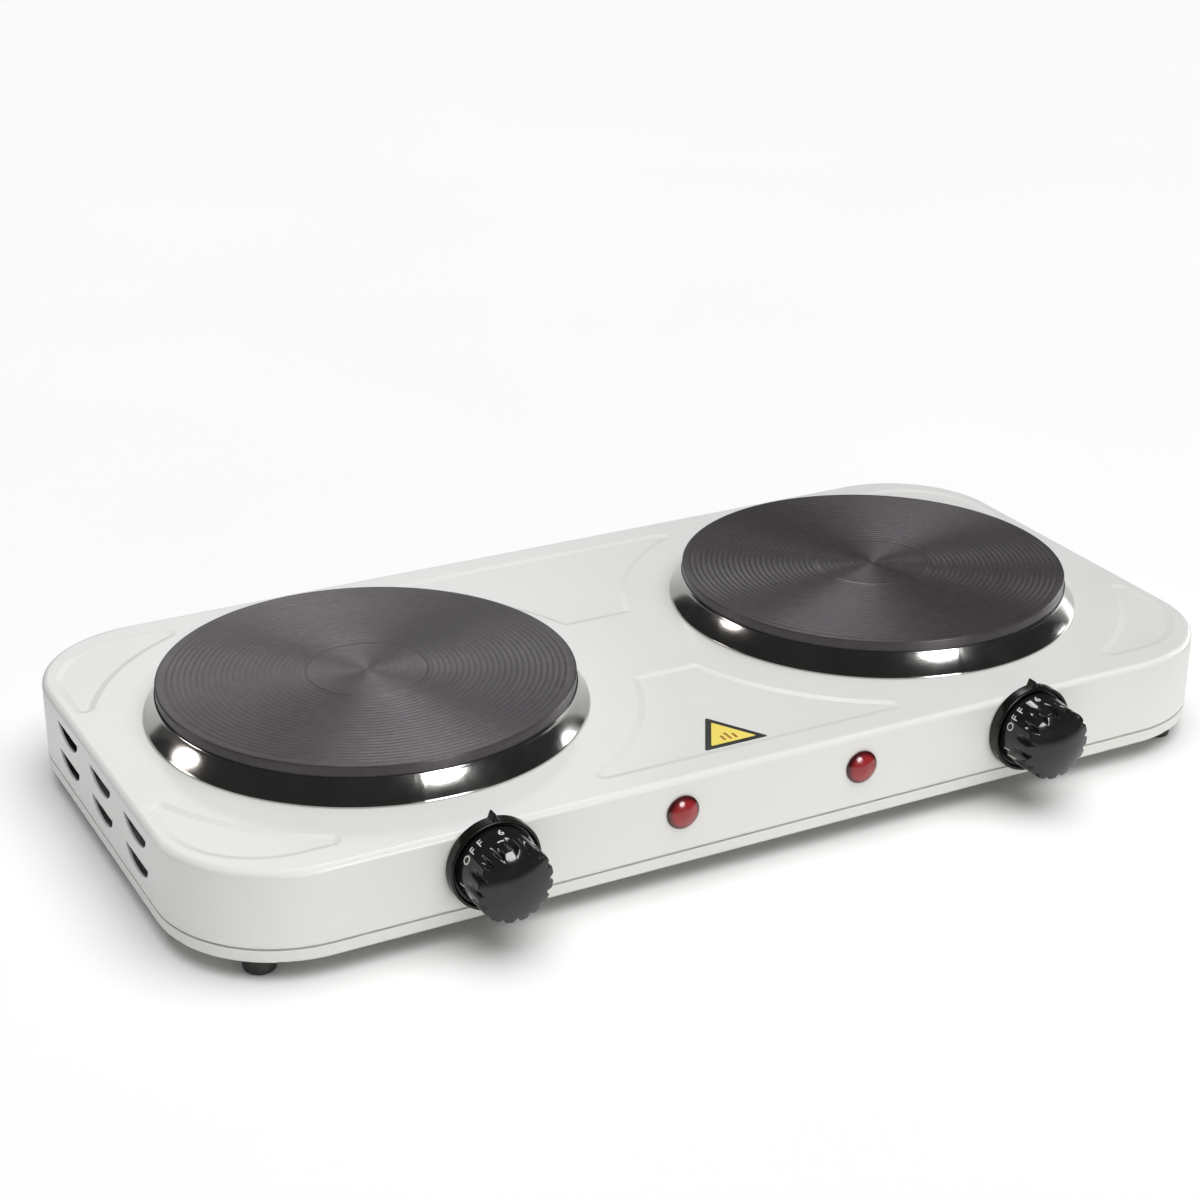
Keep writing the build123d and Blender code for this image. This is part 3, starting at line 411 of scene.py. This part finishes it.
def grooved(start, end, count, top, deep, steps):
    """Profile points across concentric rounded grooves between two radii."""
    points = []
    for i in range(count * steps + 1):
        share = i / (count * steps)
        swing = (1 - cos(2 * pi * share * count)) / 2
        points.append((start + (end - start) * share, top - deep * swing))
    return points


def hot_plate(name, side):
    """Turned cast-iron plate: grooves over a slightly raised middle, and a ring recess underneath."""
    top = PLATE_TOP
    raised = top + INNER_RAISED
    recess_top = top - 6
    recess_in, recess_out = HEATER_RECESS
    inner_count = round((INNER_TO - INNER_FROM) / INNER_GROOVE_PITCH)
    profile = [(0, raised - 0.22), (1.2, raised - 0.17), (DIMPLE_R - 0.4, raised - 0.04), (DIMPLE_R, raised)]
    profile += grooved(INNER_FROM, INNER_TO, inner_count, raised, INNER_GROOVE_DEEP, 8)
    profile += [(INNER_TO + 0.6, raised - 0.02), (INNER_TO + 0.95, top + 0.10), (INNER_TO + 1.4, top)]
    profile += grooved(GROOVES_FROM, GROOVES_TO, GROOVE_COUNT, top, GROOVE_DEEP, 9)
    profile += [(GROOVES_TO + 1.0, top)]
    profile += arc((PLATE_R - PLATE_EDGE_ROUND, top - PLATE_EDGE_ROUND), PLATE_EDGE_ROUND, 90, 0, 6)
    profile += [(PLATE_R, PLATE_BOTTOM + 0.4), (PLATE_R - 0.4, PLATE_BOTTOM), (recess_out, PLATE_BOTTOM),
                (recess_out, recess_top), (recess_in, recess_top), (recess_in, PLATE_BOTTOM),
                (STUD_HOLE_R, PLATE_BOTTOM), (STUD_HOLE_R, STUD_HOLE_TOP), (0, STUD_HOLE_TOP)]
    plate = lathe(f"plate_{name}", profile, IRON, upright(side * PLATE_X, PLATE_Y), 320, 50)
    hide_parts(f"hot_plate_{name}")
    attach(plate, "root")


RING_UPPER = PLATE_TOP - 4.6
RING_WALL = PLATE_R + 0.1
RING_FLARE = 4.75
RING_STEPS = 14
RING_LIP_R = 92.15
RING_SEAT_R = 82.0
SKIRT_FROM_R = 87.2
SEAM_ANGLE = radians(261)
SEAM_HALF = radians(0.5)


def ring_swell(angle, r, z):
    """A weld bead across the skirt and the faint waviness of a spun ring."""
    wave = 0.035 * sin(7 * angle + 0.6) * sin(2 * angle) + 0.02 * sin(17 * angle)
    away = abs((angle - SEAM_ANGLE + pi) % (2 * pi) - pi)
    bead = 0.09 * max(0.0, 1 - away / SEAM_HALF)
    skirt = 1.0 if r > SKIRT_FROM_R else 0.0
    return skirt * (wave * 0.6 - 0.05 + bead)


def trim_ring(name, side):
    """Polished ring round a plate: a flared skirt down to the body and a flange under the plate."""
    upper, wall = RING_UPPER, RING_WALL
    outside = [(wall + 0.4, upper - 0.05), (wall + 0.55, upper - 0.3)]
    flare_top = upper - 0.9
    flare_foot = TOP_Z + 0.75
    for i in range(RING_STEPS + 1):
        t = i / RING_STEPS
        reach = wall + 0.75 + RING_FLARE * (0.72 * t + 0.28 * t * t)
        outside.append((reach, flare_top - t * (flare_top - flare_foot)))
    lip = [(RING_LIP_R, TOP_Z + 0.55), (RING_LIP_R, TOP_Z + 0.15), (RING_LIP_R - 0.15, TOP_Z),
           (RING_LIP_R - 1.15, TOP_Z)]
    inside = [(90.2, TOP_Z + 0.35), (89.4, TOP_Z + 1.0), (88.6, TOP_Z + 1.35), (wall + 1.0, COVER_Z),
              (RING_SEAT_R, COVER_Z), (RING_SEAT_R, PLATE_BOTTOM), (wall, PLATE_BOTTOM), (wall, upper - 0.1),
              (wall + 0.2, upper)]
    ring = lathe(f"ring_{name}", outside + lip + inside, STEEL, upright(side * PLATE_X, PLATE_Y), 512, 40,
                 ring_swell)
    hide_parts(f"trim_ring_{name}")
    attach(ring, "root")


# ---- knobs ---------------------------------------------------------------------------------------
KNOB_BACK = 4.2
KNOB_FACE = 21.6
KNOB_REACH = 25.0
FLUTES = 16
FLUTE_DEEP = 2.3
FLUTE_SHARE = 0.66
FLUTE_FROM = 11.0
KNOB_SEGMENTS = 512
KNOB_EDGE_ROUND = 1.1
SIDE_STEPS = 22
SIDE_FROM = KNOB_BACK + 0.6
SIDE_TO = KNOB_FACE - 1.07
DOME_EDGE_R = 15.2
DOME_ROWS = (15.3, 15.0, 14.7, 14.4, 14.1, 13.6, 12.8, 12.0, 11.0, 9.6, 8.0, 6.0, 4.0, 2.0)


def knob_radius(z):
    """The knob's outside radius at a distance from the wall: flared base, slight waist."""
    t = (z - KNOB_BACK) / (KNOB_FACE - KNOB_BACK)
    return 16.35 - 0.75 * sin(pi * min(1, t * 1.05) * 0.55) + 0.40 * max(0, t - 0.5) ** 1.5


def flute_depth(angle, z, turn):
    """How far a flute bites in, from nothing at the skirt to full depth at the face."""
    pitch = 2 * pi / FLUTES
    off = ((angle - turn) / pitch + 0.5) % 1 - 0.5
    across = abs(off) / (FLUTE_SHARE / 2)
    if across >= 1 or z <= FLUTE_FROM:
        return 0.0
    along = min(1.0, (z - FLUTE_FROM) / (KNOB_FACE - FLUTE_FROM))
    bite = along * along * (3 - 2 * along)
    return FLUTE_DEEP * bite * cos(pi / 2 * across) ** 2


def knob_mesh(name, side, turn_deg):
    """Knob cap with a fluted edge and a low domed face."""
    turn = radians(turn_deg)
    rows = [(0.0, KNOB_BACK), (3.1, KNOB_BACK), (15.4, KNOB_BACK)]
    rows += [(knob_radius(KNOB_BACK) - 0.5 + 0.5 * sin(radians(a)), KNOB_BACK + 0.5 - 0.5 * cos(radians(a)))
             for a in (15, 45, 75)]
    heights = [SIDE_FROM + (SIDE_TO - SIDE_FROM) * i / SIDE_STEPS for i in range(SIDE_STEPS + 1)]
    rows += [(knob_radius(z), z) for z in heights]
    rows += arc((knob_radius(SIDE_TO) - KNOB_EDGE_ROUND, SIDE_TO), KNOB_EDGE_ROUND, 10, 54, 4)
    rise = KNOB_REACH - KNOB_FACE
    dome_r = (DOME_EDGE_R ** 2 + rise ** 2) / (2 * rise)
    rows += [(r, KNOB_REACH - (dome_r - sqrt(dome_r ** 2 - r ** 2))) for r in DOME_ROWS]
    rows.append((0.0, KNOB_REACH))

    def bite(angle, r, z):
        """Cuts the flutes into the side, and the face's edge back to their floors."""
        full = flute_depth(angle, z, turn)
        reach = r - (knob_radius(min(z, KNOB_FACE)) - full)
        if z > SIDE_TO - 0.01:
            return -max(0.0, reach) if full > 0 else 0.0
        return -full if r > 14.8 else 0.0

    knob = lathe(f"knob_{name}_cap", rows, KNOB_BLACK, on_front(side * CONTROL_X), KNOB_SEGMENTS, 42, bite)
    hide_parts(f"knob_{name}")
    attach(knob, f"{name}_control")


# A capital's share of the font's size, how much bolder it gets, and how deep and proud the print sits.
CAP_SHARE = 0.70
PRINT_BOLD = 0.03
PRINT_DEPTH = 0.2
TEXT_LIFT = 0.10
STROKE_LIFT = 0.06


def bent_text(name, text, cap, side, angle_deg, z_base, body):
    """A printed character on a knob's skirt, its top towards the wall, centred on an angle."""
    curve = bpy.data.curves.new(name, "FONT")
    curve.body = text
    curve.size = cap / CAP_SHARE * MM
    curve.align_x = "CENTER"
    curve.offset = PRINT_BOLD * MM
    curve.extrude = 0.5 * MM
    curve.resolution_u = 4
    flat = bpy.data.objects.new(name + "_flat", curve)
    bpy.context.scene.collection.objects.link(flat)
    bpy.context.view_layer.update()
    mesh = bpy.data.meshes.new_from_object(flat.evaluated_get(bpy.context.evaluated_depsgraph_get()))
    bpy.data.objects.remove(flat)
    bm = bmesh.new()
    bm.from_mesh(mesh)
    bmesh.ops.triangulate(bm, faces=bm.faces)
    bmesh.ops.subdivide_edges(bm, edges=[e for e in bm.edges if e.calc_length() > 0.5 * MM], cuts=2)
    bmesh.ops.triangulate(bm, faces=bm.faces)
    bm.to_mesh(mesh)
    bm.free()
    for v in mesh.vertices:
        z = z_base - v.co.y / MM
        skin = knob_radius(z)
        r = skin + (TEXT_LIFT if v.co.z > 0 else -PRINT_DEPTH)
        a = radians(angle_deg) - v.co.x / MM / skin
        v.co = Vector((r * cos(a), r * sin(a), z)) * MM
    mesh.transform(on_front(side * CONTROL_X))
    mesh.materials.clear()
    mesh.materials.append(MARK_WHITE)
    obj = bpy.data.objects.new(name, mesh)
    bpy.context.scene.collection.objects.link(obj)
    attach(obj, body)


def tick(name, side, angle_deg, z_from, z_to, width, body):
    """A short printed stroke along the knob."""
    steps = 6
    verts, faces = [], []
    for i in range(steps + 1):
        z = z_from + (z_to - z_from) * i / steps
        skin = knob_radius(z)
        for j, share in enumerate((-0.5, 0, 0.5)):
            a = radians(angle_deg) + share * width / skin
            for r in (skin - PRINT_DEPTH, skin + STROKE_LIFT):
                verts.append((r * cos(a), r * sin(a), z))
    for i in range(steps):
        for j in range(2):
            a, b = i * 6 + j * 2, (i + 1) * 6 + j * 2
            faces += [(a + 1, a + 3, b + 3, b + 1), (a, b, b + 2, a + 2)]
        for j in (0, 4):
            a, b = i * 6 + j, (i + 1) * 6 + j
            faces.append((a, a + 1, b + 1, b))
    for i in (0, steps * 6):
        faces += [(i, i + 1, i + 3, i + 2), (i + 2, i + 3, i + 5, i + 4)]
    obj = built(name, verts, faces, MARK_WHITE, on_front(side * CONTROL_X))
    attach(obj, body)


OFF_ANGLE = {"left": 135.0, "right": 142.0}
DIGIT_STEP = 52.5
OFF_LETTERS = (("O", 15.5), ("F", 1.0), ("F", -13.0))
TEXT_LOW = 10.0
TEXT_CAP = 3.4
# Each knob's stroke: from and to a distance off the wall, its width, and degrees away from its number.
DASH = {"left": (13.2, 13.9, 2.6, 9.0), "right": (7.6, 12.8, 0.8, 12.0)}


def dial_print(name, side):
    """OFF and the numbers 1 to 6 round the skirt, with a stroke at each number."""
    body = f"{name}_control"
    off = OFF_ANGLE[name]
    low, high, width, away_from_digit = DASH[name]
    for i, (letter, away) in enumerate(OFF_LETTERS):
        bent_text(f"knob_{name}_off_{i}", letter, TEXT_CAP, side, off + away, TEXT_LOW, body)
    for digit in range(1, 7):
        angle = off + DIGIT_STEP * digit
        bent_text(f"knob_{name}_digit_{digit}", str(digit), TEXT_CAP, side, angle, TEXT_LOW, body)
        tick(f"knob_{name}_stroke_{digit}", side, angle + away_from_digit, low, high, width, body)


# ---- bezels and lamps ----------------------------------------------------------------------------
BEZEL_R = 19.0
BEZEL_RIM = 0.8
BEZEL_RIM_Z = 4.2
BEZEL_FLOOR = 3.4
BEZEL_HOLE_R = 4.9
NIB_HALF = 1.7
NIB_FROM = 18.2
NIB_TO = 21.75


def bezel(name, side):
    """Fixed dish behind the knob with a rounded rim, and its pointer."""
    rim = arc((BEZEL_R - BEZEL_RIM, BEZEL_RIM_Z), BEZEL_RIM, 0, 180, 10)
    profile = [(BEZEL_HOLE_R, 0.0), (BEZEL_R - 0.3, 0.0), (BEZEL_R, 0.3)] + rim
    profile += [(17.4, 3.75), (17.1, BEZEL_FLOOR), (BEZEL_HOLE_R, BEZEL_FLOOR)]
    dish = lathe(f"bezel_{name}_dish", profile, BEZEL_BLACK, on_front(side * CONTROL_X), 192, 40)
    pointer = []
    for z, shrink in ((0.0, 0.0), (4.1, 0.0), (4.6, 0.35)):
        half, tip, shoulder = NIB_HALF - shrink, NIB_TO - shrink, 0.45 - shrink * 0.6
        pointer += [(-half, NIB_FROM, z), (half, NIB_FROM, z), (shoulder, tip - 0.35, z), (0, tip, z),
                    (-shoulder, tip - 0.35, z)]
    faces = [(0, 1, 2, 3, 4), (10, 11, 12, 13, 14)]
    for level in (0, 5):
        for i in range(5):
            j = (i + 1) % 5
            faces.append((level + i, level + j, level + 5 + j, level + 5 + i))
    nib = built(f"bezel_{name}_pointer", pointer, faces, BEZEL_BLACK, on_front(side * CONTROL_X), 30)
    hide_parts(f"dial_bezel_{name}")
    for obj in (dish, nib):
        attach(obj, "root")


LENS_EDGE = 0.9
LENS_REACH = 3.3
LENS_STEM_R = 5.5
LENS_STEM = -9.0
CAP_R = 6.9
CAP_STEPS = 30


def lens(name, side):
    """Domed red lens with a rounded edge, and its stem through the wall."""
    rise = LENS_REACH - LENS_EDGE
    radius = (LENS_R ** 2 + rise ** 2) / (2 * rise)
    cap = []
    for i in range(CAP_STEPS):
        a = asin(CAP_R / radius) * (1 - i / CAP_STEPS)
        cap.append((radius * sin(a), LENS_REACH - radius * (1 - cos(a))))
    profile = [(0.0, LENS_STEM), (LENS_STEM_R - 0.2, LENS_STEM), (LENS_STEM_R, LENS_STEM + 0.2),
               (LENS_STEM_R, 0.0), (LENS_R - 0.2, 0.0), (LENS_R, 0.2), (LENS_R, 0.75), (LENS_R - 0.07, 0.95)]
    profile += cap + [(0.0, LENS_REACH)]
    dome = lathe(f"lens_{name}_dome", profile, LENS_RED, on_front(side * LAMP_X), 128, 40)
    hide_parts(f"indicator_lens_{name}")
    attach(dome, "root")


# ---- sticker -------------------------------------------------------------------------------------
STICKER = Vector((-7.0, BODY_Y - 94.2, 45.9))
STICKER_SIDE = 29.6
STICKER_CORNER = 0.7
FIELD_LESS = 8.6
FIELD_CORNER = 0.4
BAR_HALF = 0.6
# Each bar's middle, across and along, and its length.
BARS = ((-2.7, -1.8, 4.2), (0.0, -1.0, 6.0), (2.7, -1.8, 4.2))


def rounded_triangle(side, corner, steps=6):
    """Outline points of a triangle with its apex towards +Y and rounded corners."""
    reach = side / sqrt(3) - 2 * corner
    points = []
    for k in range(3):
        a = radians(90 + 120 * k)
        centre = (reach * cos(a), reach * sin(a))
        for i in range(steps + 1):
            b = a + radians(-60 + 120 * i / steps)
            points.append((centre[0] + corner * cos(b), centre[1] + corner * sin(b)))
    return points


def plate_of(name, outline, low, high, mat):
    """A thin plate on the sticker's place."""
    n = len(outline)
    verts = [(x, y, low) for x, y in outline] + [(x, y, high) for x, y in outline]
    faces = [tuple(range(n)), tuple(range(n, 2 * n))]
    faces += [(i, (i + 1) % n, n + (i + 1) % n, n + i) for i in range(n)]
    obj = built(name, verts, faces, mat, Matrix.Translation(STICKER * MM), 30)
    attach(obj, "root")
    return obj


def sticker():
    """Black bordered yellow triangle with three plain bars."""
    border = rounded_triangle(STICKER_SIDE, STICKER_CORNER)
    inside = rounded_triangle(STICKER_SIDE - FIELD_LESS, FIELD_CORNER)
    back = plate_of("sticker_border", border, 0, 0.10, STICKER_BLACK)
    field = plate_of("sticker_field", inside, 0.05, 0.15, YELLOW)
    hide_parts("warning_label")
    for i, (x, y, length) in enumerate(BARS):
        low, high = y - length / 2, y + length / 2
        bar = [(x - BAR_HALF, low), (x + BAR_HALF, low), (x + BAR_HALF, high - 0.4), (x, high),
               (x - BAR_HALF, high - 0.4)]
        plate_of(f"sticker_bar_{i}", bar, 0.1, 0.18, STICKER_MARK)


# ---- cord gland ----------------------------------------------------------------------------------
GLAND_BORE_R = 3.75
GLAND_NECK_R = 5.8
GLAND_INNER_R = 7.4
GLAND_FLANGE_R = 8.2
GLAND_INNER = -6
GLAND_REACH = 11.0
RIB_COUNT = 4
RIB_PITCH = 2.0
RIB_FROM = 2.6
RIB_R = 7.6


def gland():
    """Ribbed rubber gland in the back wall, its ribs smaller towards the tip."""
    ribs = []
    for i in range(RIB_COUNT):
        z = RIB_FROM + i * RIB_PITCH
        r = RIB_R - i * 0.5
        ribs += [(r, z), (r, z + 0.95), (r - 0.7, z + 1.1), (r - 0.75, z + 1.8)]
    inner = [(GLAND_BORE_R, GLAND_INNER), (GLAND_INNER_R - 0.3, GLAND_INNER),
             (GLAND_INNER_R, GLAND_INNER + 0.3), (GLAND_INNER_R, -1), (GLAND_NECK_R, -1), (GLAND_NECK_R, 0)]
    flange = [(GLAND_FLANGE_R - 0.3, 0), (GLAND_FLANGE_R, 0.3), (GLAND_FLANGE_R, 1.7),
              (GLAND_FLANGE_R - 0.3, 2.1)]
    tip = [(5.4, GLAND_REACH - 0.3), (5.1, GLAND_REACH), (GLAND_BORE_R + 0.25, GLAND_REACH),
           (GLAND_BORE_R, GLAND_REACH - 0.3)]
    profile = inner + flange + ribs + tip
    place = Matrix.Translation(Vector((0, BACK_Y, GLAND_Z)) * MM) @ Matrix.Rotation(-pi / 2, 4, "X")
    obj = lathe("gland_ribbed", profile, RUBBER, place, 96, 30)
    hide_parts("cord_gland")
    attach(obj, "root")


for label, hand in (("left", -1), ("right", 1)):
    hot_plate(label, hand)
    trim_ring(label, hand)
    knob_mesh(label, hand, OFF_ANGLE[label] - OFF_ANGLE["left"])
    dial_print(label, hand)
    bezel(label, hand)
    lens(label, hand)
sticker()
gland()


# ---- studio --------------------------------------------------------------------------------------
FLOOR_HALF = 8000
# In reflections the floor is painted dark between these two shares of an oval with half widths in metres, a
# painted reflection standing in for a lit table in a dark studio. Seen directly it is white all over.
FLOOR_OVAL = (0.72, 0.52)
FLOOR_PAINTED_DARK = (0.46, 0.56)


def soft_floor():
    """White floor seen directly, painted dark in reflections outside an oval."""
    mat, tree, bsdf, coords = shader("studio_floor")
    paper = ramp(tree, noise(tree, coords, 3, 2), (0.3, (0.925, 0.925, 0.925)), (0.7, (0.94, 0.94, 0.94)))
    oval = tree.nodes.new("ShaderNodeMapping")
    oval.inputs["Scale"].default_value = (1 / FLOOR_OVAL[0], 1 / FLOOR_OVAL[1], 0)
    tree.links.new(coords, oval.inputs["Vector"])
    reach = tree.nodes.new("ShaderNodeVectorMath")
    reach.operation = "LENGTH"
    tree.links.new(oval.outputs["Vector"], reach.inputs[0])
    # Painted reflection: for glossy rays only, the floor is painted dark outside the oval.
    painted_dark_mask = ramp(tree, reach.outputs["Value"], (FLOOR_PAINTED_DARK[0], (0, 0, 0)), (FLOOR_PAINTED_DARK[1], (1, 1, 1)))
    path = tree.nodes.new("ShaderNodeLightPath")
    painted_dark_mask = mixed(tree, path.outputs["Is Glossy Ray"], (0.0, 0.0, 0.0), painted_dark_mask)
    tree.links.new(mixed(tree, painted_dark_mask, paper, (0.06, 0.06, 0.06)), bsdf.inputs["Base Color"])
    bsdf.inputs["Roughness"].default_value = 0.9
    bsdf.inputs["Specular IOR Level"].default_value = 0.1
    corners = [(x * FLOOR_HALF, y * FLOOR_HALF, 0) for x, y in ((-1, -1), (1, -1), (1, 1), (-1, 1))]
    floor = built("studio_floor", corners, [(0, 1, 2, 3)], mat)


def lamp(name, azimuth, elevation, distance, width, height, power, colour=(1, 1, 1), mirrored=True,
         lit=False):
    """A softbox aimed at the appliance and seen in reflections, as plain light, or both.

    Its bearing from the front and its elevation are in degrees, its distance and size in metres.
    """
    a, e = radians(azimuth), radians(elevation)
    away = Vector((sin(a) * cos(e), -cos(a) * cos(e), sin(e)))
    data = bpy.data.lights.new(name, "AREA")
    data.shape = "ELLIPSE"
    data.size, data.size_y = width, height
    data.energy = power
    data.color = colour
    obj = bpy.data.objects.new(name, data)
    obj.location = away * distance
    obj.rotation_euler = (-away).to_track_quat("-Z", "Y").to_euler()
    obj.visible_glossy = mirrored
    obj.visible_diffuse = lit
    bpy.context.scene.collection.objects.link(obj)


SUN_POWER = 2.9
SUN_SPREAD = 70
# Background brightness for the camera, for reflections and for plain light.
SKY_SEEN = (0.93, 0.93, 0.93)
SKY_MIRRORED = (0.03, 0.03, 0.03)
SKY_LIGHT = (0.13, 0.13, 0.13)


def studio():
    """Soft overhead light, and softboxes that show in the ring, knobs and plates."""
    soft_floor()
    sky = bpy.data.lights.new("overhead", "SUN")
    sky.energy = SUN_POWER
    sky.angle = radians(SUN_SPREAD)
    over = bpy.data.objects.new("overhead", sky)
    over.rotation_euler = (radians(8), radians(6), 0)
    over.visible_glossy = False
    bpy.context.scene.collection.objects.link(over)
    lamp("front_fill", 8, 5, 2.0, 1.0, 0.3, 9, (1.0, 0.975, 0.88), mirrored=False, lit=True)
    lamp("front_box", 10, 16, 1.6, 0.55, 0.45, 9)
    lamp("right_box", 100, 12, 1.6, 0.7, 0.45, 6)
    lamp("left_back_box", -120, 9, 1.5, 0.42, 0.30, 1.5, (1.0, 0.94, 0.90))
    lamp("back_box", 166, 30, 1.8, 0.9, 0.4, 1.8)
    lamp("high_box", 152, 58, 1.8, 0.7, 0.4, 6)
    world = bpy.data.worlds.new("studio")
    world.use_nodes = True
    tree = world.node_tree
    back = tree.nodes["Background"]
    path = tree.nodes.new("ShaderNodeLightPath")
    seen = mixed(tree, path.outputs["Is Glossy Ray"], SKY_LIGHT, SKY_MIRRORED)
    seen = mixed(tree, path.outputs["Is Camera Ray"], seen, SKY_SEEN)
    tree.links.new(seen, back.inputs["Color"])
    bpy.context.scene.world = world
    bpy.context.scene.view_settings.view_transform = "Standard"


CAMERA_PLACE = (-463.476, -838.423, 489.157)
CAMERA_TURN = (66.36492, -0.26622, -27.81977)
CAMERA_LENS = 72.825
SENSOR_WIDTH = 36.0


def camera():
    """The main view, from the front left and above."""
    data = bpy.data.cameras.new("camera")
    data.sensor_width = SENSOR_WIDTH
    data.lens = CAMERA_LENS
    data.clip_start = 0.05
    obj = bpy.data.objects.new("camera", data)
    obj.location = Vector(CAMERA_PLACE) * MM
    obj.rotation_euler = [radians(turn) for turn in CAMERA_TURN]
    bpy.context.scene.collection.objects.link(obj)
    bpy.context.scene.camera = obj


studio()
camera()
